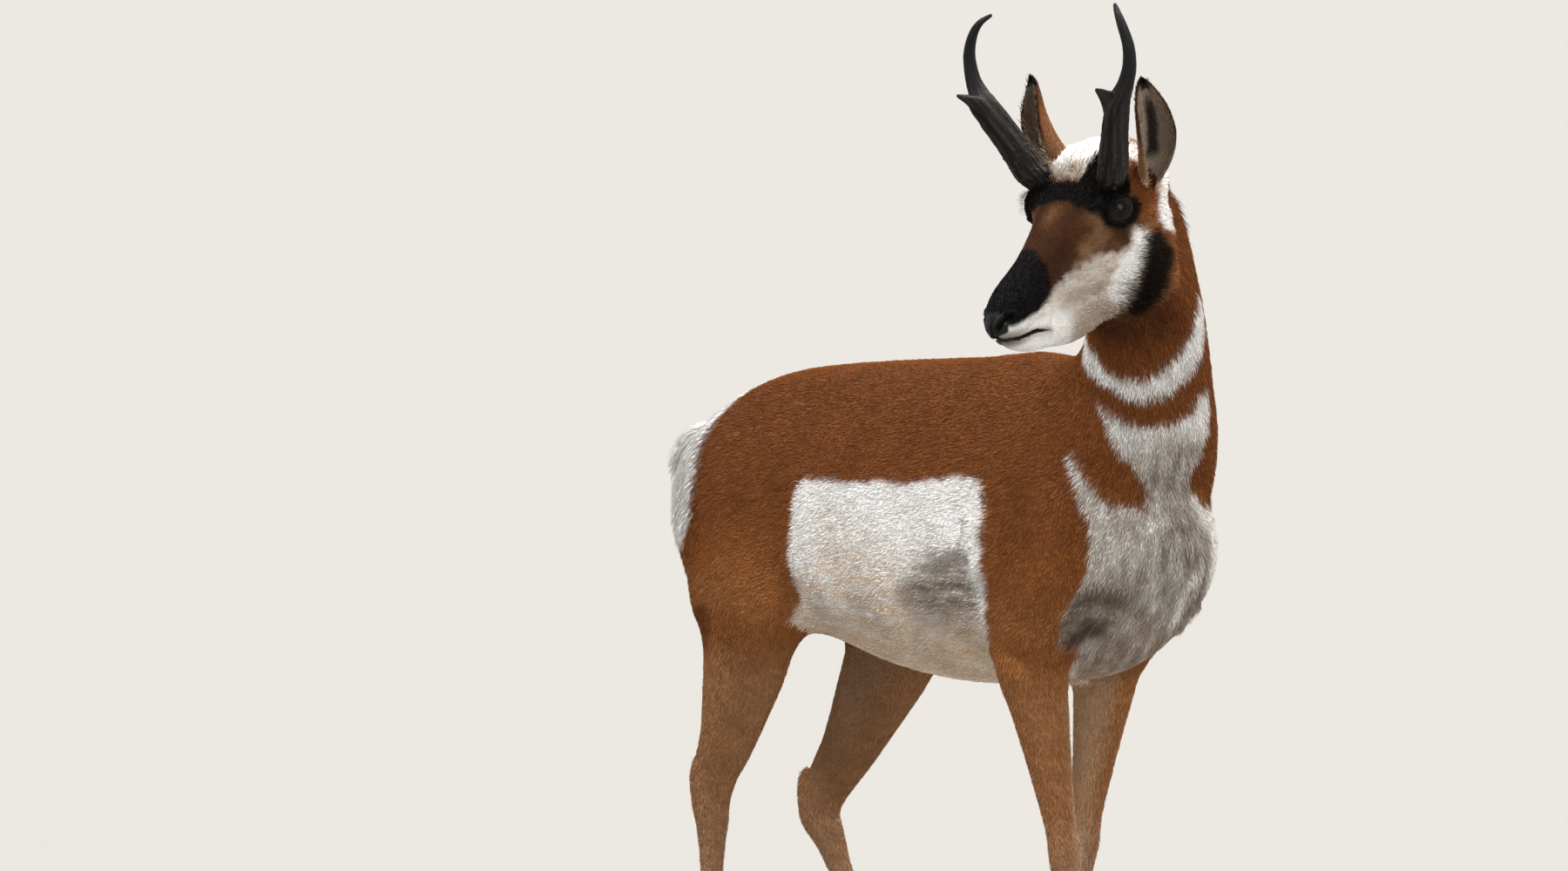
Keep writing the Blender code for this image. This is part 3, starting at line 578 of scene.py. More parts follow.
# ---------------------------- limbs
@dataclass
class Limb:
    """A loft: ovals square to a line of stations, with their own height above and below the line."""

    centres: Array
    side: Array
    front: Array
    width: Array
    rise: Array
    fall: Array
    power: Array

    @staticmethod
    def along(rows: Array, front_of: Array, power: float = 2.0) -> "Limb":
        """Stations square to the path of the rows (x, y, z, half depth, half width).

        Args:
            rows: the stations.
            front_of: the direction each ring's depth is measured along, one for all or one for each.
            power: squareness of the ovals.

        Returns:
            The limb.
        """
        along = unit(np.gradient(rows[:, :3], axis=0))
        front = np.broadcast_to(front_of, along.shape)
        front = unit(front - along * dots(front, along)[:, None])
        side = np.cross(along, front)
        return Limb(rows[:, :3], side, front, rows[:, 4], rows[:, 3], rows[:, 3], np.full(len(rows), power))

    @staticmethod
    def level(centres: Array, side: Array, front: Array, sizes: Array, power: Array) -> "Limb":
        """Stations that keep one pair of directions; sizes holds half width, rise and fall."""
        spread = np.broadcast_to(side, centres.shape), np.broadcast_to(front, centres.shape)
        return Limb(centres, *spread, *sizes.T, np.broadcast_to(power, len(centres)))

    def rings(self, count: int = 28) -> Array:
        """The ovals: half width times cos(t) to the side, rise or fall times sin(t) to the front, each with
        its size raised to 2 / power.

        Args:
            count: points in a ring.

        Returns:
            Stations, points round each, 3.
        """
        turn = np.arange(count) * 2 * math.pi / count
        exponent = 2 / self.power[:, None]
        across = np.sign(np.cos(turn)) * np.abs(np.cos(turn)) ** exponent
        height = np.sign(np.sin(turn)) * np.abs(np.sin(turn)) ** exponent
        height = height * np.where(height > 0, self.rise[:, None], self.fall[:, None])
        across = across * self.width[:, None]
        sideways, forward = across[..., None] * self.side[:, None], height[..., None] * self.front[:, None]
        return self.centres[:, None] + sideways + forward

    def place(self, points: Array) -> tuple[Array, Array, Array]:
        """Where points lie on the limb.

        Args:
            points: places in space.

        Returns:
            Metres along the line, turn round it from the front in radians, and distance from it as a share
            of the oval's size there, which grows past the limb's ends.
        """
        along = unit(np.gradient(self.centres, axis=0))
        steps = np.linalg.norm(np.diff(self.centres, axis=0), axis=1)
        lengths = np.concatenate([[0], np.cumsum(steps)])
        gaps = (self.centres**2).sum(axis=1) - 2 * points @ self.centres.T
        nearest = gaps.argmin(axis=1)
        offset = points - self.centres[nearest]
        ahead = dots(offset, along[nearest])
        across, up = dots(offset, self.side[nearest]), dots(offset, self.front[nearest])
        half = np.where(up > 0, self.rise[nearest], self.fall[nearest])
        over = np.maximum(np.abs(ahead) - steps.max(), 0) / half
        spread = np.sqrt((across / self.width[nearest]) ** 2 + (up / half) ** 2 + over**2)
        return lengths[nearest] + ahead, np.arctan2(across, up), spread


def trunk_limb() -> Limb:
    """The barrel of the body, from the rump to the breast.

    Returns:
        The limb.
    """
    rows = smooth_rows(TRUNK, 4)
    level = rows[:, 2] + (rows[:, 1] - rows[:, 2]) * rows[:, 4]
    centres = np.stack([rows[:, 0], 0 * level, level], axis=-1)
    sizes = np.stack([rows[:, 3], rows[:, 1] - level, level - rows[:, 2]], axis=-1)
    return Limb.level(centres, np.array([0.0, 1, 0]), np.array([0.0, 0, 1]), sizes, rows[:, 5])


def neck_limb() -> Limb:
    """The neck, whose throat turns with the head.

    Returns:
        The limb.
    """
    rows = smooth_rows(NECK, 5)
    turn = np.radians(rows[:, 5])
    return Limb.along(rows[:, :5], np.stack([np.cos(turn), np.sin(turn), 0 * turn], axis=-1))


def head_limb(sections: Sequence) -> Limb:
    """The head or the jaw, in sections square to the mouth line.

    Args:
        sections: HEAD or JAW.

    Returns:
        The limb.
    """
    rows = smooth_rows(sections, 4)
    centres = to_space(np.stack([rows[:, 0], 0 * rows[:, 0], rows[:, 1]], axis=-1))
    return Limb.level(centres, LEFT, CROWN, rows[:, 2:5], np.full(len(rows), 2.1))


def leg_limb(name: str) -> Limb:
    """A leg, from inside the body down into its hoof.

    Args:
        name: a key of LEGS.

    Returns:
        The limb.
    """
    joints = LEGS[name]
    sections = FORELEG if name.startswith("fore") else HINDLEG
    places = np.vstack([joints, 1.5 * joints[-1] - 0.5 * joints[-2]])
    rows = []
    for place, half_depth, half_width, back in sections:
        start = min(int(place), len(places) - 2)
        x, y, z = places[start] + (places[start + 1] - places[start]) * (place - start)
        rows.append((x - back, y, z, half_depth, half_width))
    return Limb.along(smooth_rows(rows, 5), np.array([1.0, 0, 0]))


def tail_limb() -> Limb:
    """The short tail."""
    return Limb.along(smooth_rows(TAIL, 4), np.array([1.0, 0, 0]))


@dataclass
class Anatomy:
    """The limbs that make up the body, and where on them a point is."""

    limbs: dict[Part, Limb] = field(default_factory=dict)

    def __post_init__(self) -> None:
        """Builds the limbs."""
        self.limbs = {Part.TRUNK: trunk_limb(), Part.NECK: neck_limb(), Part.HEAD: head_limb(HEAD)}
        self.limbs |= {Part[name.upper()]: leg_limb(name) for name in LEGS}
        self.limbs[Part.TAIL] = tail_limb()

    def masses(self) -> Surface:
        """Every closed mass of the body's flesh, overlapping.

        Returns:
            One surface of closed parts.
        """
        shapes = [Surface.tube(limb.rings()) for limb in self.limbs.values()]
        shapes.append(Surface.tube(head_limb(JAW).rings()))
        for side in Side:
            ahead, out, up, radii = ORBIT
            shapes.append(Surface.ball(to_space([ahead, side.value * out, up]), HEAD_AXES, radii))
            for x, y, z, depth, width, height, pitch in MUSCLES:
                lean = math.radians(pitch)
                axes = [[math.cos(lean), 0, -math.sin(lean)], [0, 1, 0], [math.sin(lean), 0, math.cos(lean)]]
                shapes.append(Surface.ball([x, -side.value * y, z], axes, (depth, width, height)))
            hock = LEGS["hindleg_" + side.word][2]
            behind, above, radii = HEEL_BONE
            shapes.append(Surface.ball(hock + [behind, 0, above], np.eye(3), radii, 16))
        return Surface.joined(shapes)

    def survey(self, points: Array) -> "Survey":
        """Finds which part each point belongs to and where on it.

        Args:
            points: places in space.

        Returns:
            What is known of each point.
        """
        along, turn, spread = (np.empty((len(Part), len(points))) for _ in range(3))
        for part, limb in self.limbs.items():
            along[part.value], turn[part.value], spread[part.value] = limb.place(points)
        x, _, z = points.T
        share = head_share(points)
        score = spread.copy()
        for part in Part:
            if "LEG" in part.name:
                score[part.value] += np.maximum(z - LEG_TOP, 0) / 0.06
        score[Part.TRUNK.value] += np.maximum(BELLY - z, 0) / 0.05
        score[Part.NECK.value] += np.where(x < NECK_BASE, 1, 0)
        score[Part.TAIL.value] += np.where(x > TAIL_BASE, 3, 0.3)
        score[Part.HEAD.value] = np.where(share > 0, -1, 9)
        label = score.argmin(axis=0)
        rows = np.arange(len(points))
        return Survey(points, label, along[label, rows], turn[label, rows], share, along, turn)


@dataclass
class Survey:
    """Points of the body: their part, metres along it, turn round it, and how far onto the head they are."""

    points: Array
    label: Array
    along: Array
    turn: Array
    share: Array
    all_along: Array
    all_turn: Array

    def of(self, part: Part) -> Array:
        """Which points belong to this part."""
        return self.label == part.value

    def legs(self) -> Array:
        """Which points belong to a leg."""
        return (self.label >= Part.FORELEG_RIGHT.value) & (self.label <= Part.HINDLEG_LEFT.value)


# ---------------------------- eye openings
@dataclass(frozen=True)
class EyeOpening:
    """The almond that the lids leave over the eyeball: where two arcs overlap, and the way it looks."""

    half_length: float = 0.0162
    upper: float = 0.0118  # height of the upper arc
    lower: float = 0.009
    look: tuple[float, float, float] = (0.3, 0.93, 0.12)  # ahead, outward, up
    tilt: float = math.radians(-14)  # the front corner sits lower

    def axes(self) -> Array:
        """Outward, forward and upward directions of the opening, for an eye at +left.

        Returns:
            Three unit rows in head places.
        """
        outward = unit(np.array(self.look))
        forward = unit(np.array([1.0, 0, 0]) - outward * outward[0])
        upward = np.cross(forward, outward)
        upward = upward if upward[2] > 0 else -upward
        lean = math.cos(self.tilt) * forward + math.sin(self.tilt) * upward
        return np.array([outward, lean, math.cos(self.tilt) * upward - math.sin(self.tilt) * forward])

    def arch(self, height: float) -> tuple[float, float]:
        """Radius of an arc of this height over the opening's length, and how far its centre lies past the
        middle line: ((half length)^2 + height^2) / (2 height), and that less the height."""
        radius = (self.half_length**2 + height**2) / (2 * height)
        return radius, radius - height

    def measure(self, mirrored: Array) -> tuple[Array, Array, Array]:
        """Reads head places with their left made positive.

        Args:
            mirrored: head places (ahead, outward, up).

        Returns:
            Distance from the eyeball's middle, metres outside the almond's rim (under 0 in the gap), and the
            direction from the middle in the opening's axes.
        """
        offset = mirrored - np.array([0, EYE_SPACING, 0])
        reach = np.linalg.norm(offset, axis=1)
        seen = (offset / np.maximum(reach, 1e-9)[:, None]) @ self.axes().T
        forward = np.arctan2(seen[:, 1], seen[:, 0]) * EYE_RADIUS
        upward = np.arcsin(np.clip(seen[:, 2], -1, 1)) * EYE_RADIUS
        above, above_centre = self.arch(self.upper)
        below, below_centre = self.arch(self.lower)
        over = np.hypot(forward, upward + above_centre) - above
        under = np.hypot(forward, upward - below_centre) - below
        return reach, np.maximum(over, under), seen


OPENING = EyeOpening()
EYE_REACH = 0.036  # how far from an eye's middle its lids and their finer skin go
MUZZLE_FROM = 0.134  # how far ahead of the eyes the finer skin of the nose and lips starts
HEAD_REACH = 0.17  # within this of the eyes the union isn't eased in full
NOSTRIL = mm((213, 9.5, -57), (208.5, 15, -50.8), (202, 19, -47.2), (194.5, 21.5, -47.8))
MOUTH = mm(
    (229, -66), (215.5, -69.5), (204.4, -75.2), (188, -80), (173.8, -81.8), (159, -84.2), (146, -90),
    (134, -95.5),
)
CHEEK_CREASE = mm((80, -68), (73, -82), (69, -98))
TEAR_LINE = mm((18, 60, -6), (30, 53, -14), (42, 47, -21))

# Creases of the body: line in x, outward, z, with depth and half width.
BODY_CREASES = (
    (((0.186, 0.14, 0.7), (0.183, 0.14, 0.68), (0.176, 0.14, 0.662)), 0.0035, 0.004),
    (((0.186, 0.138, 0.648), (0.16, 0.142, 0.645), (0.13, 0.145, 0.634)), 0.0045, 0.009),
    (((0.176, 0.14, 0.622), (0.14, 0.142, 0.61), (0.105, 0.145, 0.59)), 0.0028, 0.006),
    (((0.18, 0.14, 0.6), (0.14, 0.142, 0.586)), 0.0026, 0.006),
    (((0.318, 0.104, 0.548), (0.33, 0.096, 0.57), (0.352, 0.082, 0.583), (0.37, 0.064, 0.582)), 0.011, 0.008),
    (((0.44, 0.034, 0.72), (0.438, 0.036, 0.66), (0.415, 0.04, 0.6)), 0.004, 0.006),
    (((-0.15, 0.12, 0.6), (-0.168, 0.118, 0.56)), 0.005, 0.014),
    (((0.215, 0.13, 0.56), (0.262, 0.122, 0.535)), 0.004, 0.014),
)


# ---------------------------- colours
class Tone(Enum):
    """Coat colours, as linear red, green and blue."""

    RUST = (0.205, 0.068, 0.019)
    DARK_RUST = (0.11, 0.031, 0.008)
    CHESTNUT = (0.07, 0.025, 0.01)
    ORANGE = (0.31, 0.112, 0.029)
    TAN = (0.34, 0.185, 0.092)
    FAWN = (0.33, 0.235, 0.155)
    SAND = (0.74, 0.53, 0.345)
    CREAM = (0.64, 0.53, 0.41)
    WHITE = (0.86, 0.84, 0.815)
    GREY = (0.21, 0.165, 0.128)
    SMOKE = (0.42, 0.37, 0.315)
    DUSK = (0.19, 0.13, 0.085)
    UMBER = (0.042, 0.016, 0.007)
    BLACK = (0.003, 0.0024, 0.002)


COLOUR_LIMITS = (0.002, 0.92)  # least and most of each of red, green and blue
UNDERCOAT = 0.8  # brightness of the skin's colours as a share of the hair's


class Paint:
    """Colours on points, laid one over the other."""

    def __init__(self, count: int, tone: Tone) -> None:
        """Starts with one tone all over."""
        self.colour = np.tile(np.array(tone.value), (count, 1))

    def lay(self, tone: Tone, share: Array) -> None:
        """Mixes a tone in by a share of 0 to 1 at each point."""
        self.colour += (np.array(tone.value) - self.colour) * np.clip(share, 0, 1)[:, None]

    def shade(self, factor: Array) -> None:
        """Lightens or darkens each point."""
        self.colour *= factor[:, None]


# Markings as outlines. Flank and rump: x and z. Chest: degrees round the breast from straight ahead, and z.
# Neck: degrees round the neck from the throat's middle, and metres up it. Head: ahead and up of the eyes.
FLANK_PATCH = mm(
    (-132, 700), (-126, 724), (-105, 736), (20, 738), (120, 745), (196, 752), (211, 742), (217, 690),
    (215, 620), (202, 560), (215, 500), (200, 400), (-240, 400), (-190, 540), (-152, 585), (-143, 640),
)
# The hollow behind the elbow: grey-brown hair with painted shade laid over it.
FLANK_SHADE = mm((205, 655), (150, 662), (130, 650), (85, 625), (70, 600), (90, 580), (150, 572), (205, 575))
ELBOW_STRIP = mm((205, 740), (206, 575))
# A line of painted shade in the crease behind the elbow's white strip: x and z.
FLANK_CREASE_SHADE = mm((186, 700), (184, 680), (177, 660))
RUMP_PATCH = mm(
    (-330, 840), (-331, 790), (-334, 750), (-338, 715), (-336, 690), (-350, 668), (-395, 640), (-420, 600),
    (-440, 560), (-540, 560), (-540, 860),
)
CHEST_DEGREE = 0.0028  # metres along the breast for a degree
CHEST_PATCH = (
    (49, 0.786), (45, 0.745), (39, 0.712), (37, 0.68), (40, 0.637), (50, 0.593), (58, 0.549), (74, 0.5),
    (80, 0.44), (-30, 0.44), (-30, 0.735), (13, 0.735), (14, 0.718), (28, 0.722), (34, 0.735), (41, 0.757),
)
# Across the breast: x, outward, z. These lines carry painted shade in the band over the armpit, the pit, the
# hollow and the valley, and painted highlights along the arc and the ridge.
# A band of painted shade over the armpit.
CHEST_ARMPIT_SHADE = mm((328, 99, 590), (350, 98, 606), (376, 87, 616), (396, 70, 606))
# A painted highlight along the ridge over the pit.
CHEST_ARC_HIGHLIGHT = mm((306, 99, 538), (311, 96, 564), (327, 92, 585), (354, 81, 600), (370, 68, 602), (381, 56, 589))
# Painted shade in the pit under that ridge.
CHEST_PIT_SHADE = mm((322, 92, 545), (332, 87, 565), (347, 75, 577), (358, 64, 576))
# A painted highlight down the ridge in the breast's middle.
CHEST_RIDGE_HIGHLIGHT = mm((440, 8, 700), (435, 8, 665), (421, 9, 618), (395, 19, 584))
# Painted shade in the valley to the left of that ridge.
CHEST_VALLEY_SHADE = mm((432, 34, 690), (428, 36, 640), (405, 42, 590))
# Painted shade running down from the pit.
CHEST_HOLLOW_SHADE = mm((336, 83, 558), (322, 90, 530), (316, 92, 500))
NECK_DEGREE = 0.0015
NECK_TURN = ((0.15, 0.226, 0.3, 0.35), (22, 15, 5, 0))  # how far the throat's middle is turned, up the neck
SHIELD = (
    (-53, 0.226), (-34, 0.221), (-13, 0.219), (13, 0.224), (42, 0.236), (56, 0.236), (50, 0.215), (35, 0.195),
    (20, 0.18), (10, 0.155), (9, 0.12), (-14, 0.12), (-15, 0.154), (-30, 0.177), (-45, 0.197),
)
COLLAR = (
    (-100, 0.268), (-85, 0.257), (-40, 0.256), (-14, 0.252), (16, 0.262), (55, 0.277), (85, 0.3),
    (102, 0.326), (92, 0.334), (64, 0.316), (20, 0.29), (-10, 0.272), (-39, 0.276), (-70, 0.292),
    (-95, 0.288),
)
MUZZLE_BLACK = mm(
    (103, 40), (106, -6), (110, -16), (116, -30), (124, -44), (138, -55), (155, -59), (175, -60), (189, -60),
    (202.5, -58), (216.5, -55.5), (250, -53.5), (250, 40),
)
CHEEK_WHITE = mm(
    (250, -52), (200, -56), (146, -55), (130, -56), (119, -53), (103, -50), (86, -46), (62, -44), (32, -44),
    (14, -48), (-10, -53), (-14, -36), (-22, -30), (-32, -42), (-31, -54), (-20, -68), (-9, -83), (1, -97),
    (10, -112), (24, -128), (60, -140), (130, -165), (250, -165),
)
CHEEK_BRIGHT = mm(
    (260, -52), (156, -56), (127, -63), (102, -78), (75, -83), (47, -68), (22, -56), (-6, -52), (-30, -30),
    (-60, -30), (-60, -180), (260, -180),
)
CHEEK_EDGE = mm((-20, -36), (-19, -56), (-9, -70), (3, -86), (14, -100))
CHEEK_BLACK = mm(
    (-31, -54), (-20, -68), (-9, -83), (1, -97), (10, -113), (18, -130), (6, -148), (-12, -138), (-26, -120),
    (-40, -109), (-55, -98), (-66, -84), (-62, -66), (-50, -53),
)
EAR_WHITE = mm(
    (-80, 10), (-128, 6), (-134, -30), (-114, -72), (-84, -72), (-62, -56), (-62, -46), (-73, -32),
    (-88, -10),
)
TEMPLE_PALE = mm((-46, 4), (-90, 14), (-100, -40), (-60, -56), (-46, -30))
FACE_PALE = mm((26, 46, 4), (32, 48, -20), (56, 40, -28))
FACE_MIDDLE = mm((46, 0, 14), (64, 0, 8))
FACE_DARK = mm((30, 22, 16), (62, 20, 6))
UNDER_EYE = mm((8, 58, -28), (-10, 58, -42))
CHEEK_SHADE = mm((30, -86), (62, -78), (90, -72))
EYE_BLACK = mm(
    (14, 38), (19, 22), (29, 4), (23, -12), (0, -26), (-25, -30), (-45, -17), (-35, -2), (-16, 6), (-2, 14),
    (-4, 34),
)
TEMPLE_ORANGE = mm(
    (-8, 20), (-18, 6), (-36, -2), (-46, -14), (-60, -8), (-68, 10), (-62, 30), (-40, 42), (-12, 40),
)


@dataclass
class Markings:
    """The coat's colours, as functions of where a point of the body is."""

    edge: float = 0.0055  # half width of the soft edge of a marking

    def patch(self, x: Array, y: Array, outline: Sequence, ragged: Array, edge: float | None = None) -> Array:
        """A marking's share of 0 to 1, from its outline moved by the ragged distance."""
        width = edge or self.edge
        return ease(-width, width, inside_by(x, y, outline) + ragged)

    def body(self, survey: Survey, ragged: Array, paint: Paint) -> Array:
        """Back, flanks, belly, rump and chest; gives how far the white markings cover each point.

        Args:
            survey: the points.
            ragged: metres that edges are moved by.
            paint: the colours so far.

        Returns:
            The share of white marking on each point.
        """
        x, y, z = survey.points.T
        out = np.abs(y)
        paint.lay(Tone.DARK_RUST, 0.18 * ease(0.7, 0.8, z) * ease(0.3, 0.16, x))
        streaks = np.clip(ripple(survey.points * [1.6, 1.6, 0.5], 0.02, 8), 0, 1)
        paint.lay(Tone.UMBER, 0.3 * streaks * ease(0.19, 0.24, x) * ease(0.8, 0.7, z))
        paint.lay(Tone.ORANGE, 0.62 * ease(0.73, 0.61, z))
        paint.lay(Tone.TAN, 0.42 * ease(0.65, 0.52, z))
        fore = ease(0.545, 0.575, z) * survey.legs() + ~survey.legs()
        flank = self.patch(x, z, FLANK_PATCH, ragged) * np.where(x < -0.06, ~survey.legs() * 1.0, fore)
        paint.lay(Tone.WHITE, flank)
        clouds = 0.5 + 0.5 * ripple(survey.points * [0.6, 1, 1.4], 0.026, 6)
        flat = np.stack([x, z], axis=1)
        # Wavy lines of painted shade along the wrinkles in the hollow behind the elbow.
        wrinkle_shade = 0.5 + 0.5 * ripple((survey.points + 0.45 * z[:, None]) * [0.35, 0, 1.6], 0.013, 9)
        lower = ease(0.68, 0.6, z + 0.25 * x)
        paint.lay(Tone.CREAM, flank * (0.08 + 0.38 * clouds) * ease(0.73, 0.64, z + 0.3 * x))
        paint.lay(Tone.SAND, flank * (0.1 + 0.45 * clouds) * lower)
        # Warm sand towards the belly: painted warm light bounced up from below onto the white.
        paint.lay(Tone.SAND, flank * 0.45 * ease(0.6, 0.535, z))
        # Painted shade in the hollow behind the elbow over its grey-brown hair, darker along the wrinkles.
        shaded = self.patch(x, z, FLANK_SHADE, 2 * ragged, 0.026)
        paint.lay(Tone.DUSK, flank * shaded * (0.4 + 0.45 * wrinkle_shade))
        paint.lay(Tone.UMBER, flank * shaded * 0.34 * wrinkle_shade * clouds)
        strip = bell(from_line(flat, ELBOW_STRIP), 0.009)
        rear = 0.85 * ease(-0.06, -0.105, x) * ease(0.6, 0.64, z)
        paint.lay(Tone.WHITE, flank * np.maximum(0.95 * strip, rear))
        # A thin line of painted shade in the crease behind the elbow.
        paint.lay(Tone.DUSK, flank * 0.75 * bell(from_line(flat, FLANK_CREASE_SHADE), 0.0036))
        inner = ease(0.085, 0.05, out) * ease(0.6, 0.5, z) * ease(-0.42, -0.34, x) * ease(-0.06, -0.16, x)
        paint.lay(Tone.FAWN, 0.8 * inner)
        turn = np.degrees(np.arctan2(out, np.maximum(x - 0.25, 1e-4)))
        chest = self.patch(turn * CHEST_DEGREE, z, [(a * CHEST_DEGREE, b) for a, b in CHEST_PATCH], ragged)
        chest *= ease(0.245, 0.262, x) * fore
        paint.lay(Tone.WHITE, chest)
        sided = np.stack([x, out, z], axis=1)
        clouds = 0.5 + 0.5 * ripple(survey.points * [1, 1, 0.45], 0.022, 5)
        paint.lay(Tone.SMOKE, chest * (0.45 + 0.4 * clouds) * ease(0.84, 0.74, z) * ease(62, 40, turn))
        paint.lay(Tone.GREY, chest * 0.6 * clouds * ease(40, 22, turn) * ease(0.8, 0.7, z))
        paint.lay(Tone.WHITE, 0.85 * chest * ease(-0.006, 0.018, y) * ease(0.6, 0.65, z))
        # Painted shade in the band over the armpit, darkest along its middle.
        paint.lay(Tone.DUSK, 0.85 * chest * bell(from_line(sided, CHEST_ARMPIT_SHADE), 0.021))
        paint.lay(Tone.UMBER, 0.5 * chest * bell(from_line(sided, CHEST_ARMPIT_SHADE), 0.013))
        paint.lay(Tone.FAWN, chest * (0.25 + 0.4 * clouds) * ease(0.61, 0.555, z))
        paint.lay(Tone.SAND, chest * 0.4 * ease(0.545, 0.5, z))
        # A painted highlight along the ridge over the pit.
        paint.lay(Tone.CREAM, 0.75 * chest * bell(from_line(sided, CHEST_ARC_HIGHLIGHT), 0.0045))
        # Painted shade in the hollow and the pit under the ridge.
        paint.lay(Tone.DARK_RUST, 0.8 * chest * bell(from_line(sided, CHEST_HOLLOW_SHADE), 0.017))
        paint.lay(Tone.UMBER, 0.9 * chest * bell(from_line(sided, CHEST_PIT_SHADE), 0.0105))
        # A painted highlight down the ridge, and painted shade in the valley beside it.
        paint.lay(Tone.WHITE, 0.9 * chest * bell(from_line(survey.points, CHEST_RIDGE_HIGHLIGHT), 0.007))
        paint.lay(Tone.DUSK, 0.8 * chest * bell(from_line(survey.points, CHEST_VALLEY_SHADE), 0.011))
        rump = self.patch(x, z, RUMP_PATCH, ragged)
        paint.lay(Tone.WHITE, rump)
        stripe = ease(0.016, 0.008, out + ragged) * ease(0.755, 0.785, z) * rump * ease(-0.44, -0.42, x)
        paint.lay(Tone.RUST, stripe)
        return np.maximum(np.maximum(flank, chest), rump)

    def neck(self, survey: Survey, ragged: Array, paint: Paint) -> None:
        """The two white bands over the throat and the dark mane.

        Args:
            survey: the points.
            ragged: metres that edges are moved by.
            paint: the colours so far.
        """
        along, turn = survey.all_along[Part.NECK.value], np.degrees(survey.all_turn[Part.NECK.value])
        turn = turn - np.interp(along, *NECK_TURN)
        turn = (turn + 180) % 360 - 180
        on_neck = np.where(survey.share < 0.004, 1.0, 0.0) * ease(0.24, 0.27, survey.points[:, 0])
        nape = ease(130, 165, np.abs(turn)) * ease(0.1, 0.2, along)
        paint.lay(Tone.DARK_RUST, 0.75 * on_neck * nape)
        throat = ease(0.28, 0.345, along) * ease(78, 40, np.abs(turn))
        paint.lay(Tone.DARK_RUST, 0.85 * on_neck * throat)
        paint.lay(Tone.UMBER, 0.55 * on_neck * ease(0.315, 0.35, along) * ease(60, 25, np.abs(turn)))
        bent = [(a * NECK_DEGREE, b) for a, b in COLLAR]
        paint.lay(Tone.WHITE, on_neck * self.patch(turn * NECK_DEGREE, along, bent, ragged))
        bent = [(a * NECK_DEGREE, b) for a, b in SHIELD]
        shield = on_neck * self.patch(turn * NECK_DEGREE, along, bent, ragged)
        clouds = 0.5 + 0.5 * ripple(survey.points * [1, 1, 0.45], 0.022, 5)
        paint.lay(Tone.WHITE, shield)
        level = along + 0.0007 * np.abs(turn)
        paint.lay(Tone.SMOKE, shield * (0.45 + 0.45 * clouds) * ease(0.232, 0.2, level))
        paint.lay(Tone.GREY, shield * 0.65 * clouds * ease(0.215, 0.175, level))

    def legs(self, survey: Survey, free: Array, paint: Paint) -> None:
        """Rust outside and behind, paler within, with a dark ring over the hooves, where the points are free.

        Args:
            survey: the points.
            free: the share of each point that no white marking covers.
            paint: the colours so far.
        """
        _, y, z = survey.points.T
        inward = (LEG_MIDDLE - np.abs(y)) / 0.03
        low = free * ease(0.55, 0.47, z)
        paint.lay(Tone.ORANGE, 0.8 * free * ease(0.64, 0.53, z) * ease(0.7, -0.1, inward))
        paint.lay(Tone.SAND, 0.6 * low * ease(-0.1, 0.9, inward))
        paint.lay(Tone.TAN, 0.38 * low)
        paint.lay(Tone.CREAM, 0.2 * ease(0.36, 0.24, z))
        rear = survey.of(Part.HINDLEG_LEFT) | survey.of(Part.HINDLEG_RIGHT)
        paint.lay(Tone.TAN, 0.45 * rear * low)
        ham = rear * ease(1.9, 2.6, np.abs(survey.turn)) * ease(0.5, 0.54, z) * ease(0.62, 0.58, z)
        paint.lay(Tone.DARK_RUST, 0.7 * ham)
        paint.lay(Tone.UMBER, 0.65 * ease(0.085, 0.055, z))

    def head(self, survey: Survey, ragged: Array, paint: Paint) -> None:
        """The face: black muzzle and brow band, white cheeks and lips, dark patch at the angle of the jaw.

        Args:
            survey: the points.
            ragged: metres that edges are moved by.
            paint: the colours so far.
        """
        ahead, left, up = to_head(survey.points).T
        out = np.abs(left)
        sided = np.stack([ahead, out, up], axis=1)
        here = ease(-0.004, 0.004, survey.share)
        broad, fine = ripple(sided * [0.45, 1, 1], 0.011, 7), ripple(sided * [0.3, 1, 1], 0.0045, 17)
        streaks = np.clip(0.5 + 0.3 * broad + 0.3 * fine, 0, 1)
        face = Paint(len(ahead), Tone.CHESTNUT)
        face.lay(Tone.RUST, ease(-0.02, -0.06, ahead) * ease(0.034, 0.045, out))
        face.lay(Tone.TAN, (0.45 + 0.4 * streaks) * bell(from_line(sided, FACE_PALE), 0.0125))
        face.lay(Tone.TAN, (0.1 + 0.3 * streaks) * bell(from_line(sided, FACE_MIDDLE), 0.008))
        below_eye = 0.45 * streaks * ease(-0.02, -0.042, up) * ease(0.02, 0.03, out)
        face.lay(Tone.TAN, below_eye * ease(0.12, 0.08, ahead))
        face.lay(Tone.UMBER, 0.75 * bell(from_line(sided, FACE_DARK), 0.008))
        face.lay(Tone.UMBER, 0.9 * bell(from_line(sided, UNDER_EYE), 0.013))
        face.lay(Tone.UMBER, (0.55 + 0.35 * streaks) * ease(0.052, 0.086, ahead) * ease(0.042, 0.026, out))
        top = ease(0.01, 0.024, up)
        face.lay(Tone.CREAM, top * ease(0.006, -0.006, ahead + ragged) * (0.25 + 0.6 * streaks))
        tuft = ease(-0.004, -0.02, ahead + 2 * ragged + 0.006 * ease(0.022, 0.006, out))
        face.lay(Tone.WHITE, top * tuft)
        nape = ease(-0.075, -0.1, ahead + 2 * ragged)
        face.lay(Tone.RUST, nape * ease(-0.02, 0.02, up))
        aside = ease(0.034, 0.046, out)
        face.lay(Tone.RUST, 0.85 * self.patch(ahead, up, TEMPLE_PALE, ragged, 0.005) * aside)
        temple = self.patch(ahead, up, TEMPLE_ORANGE, ragged, 0.004) * aside
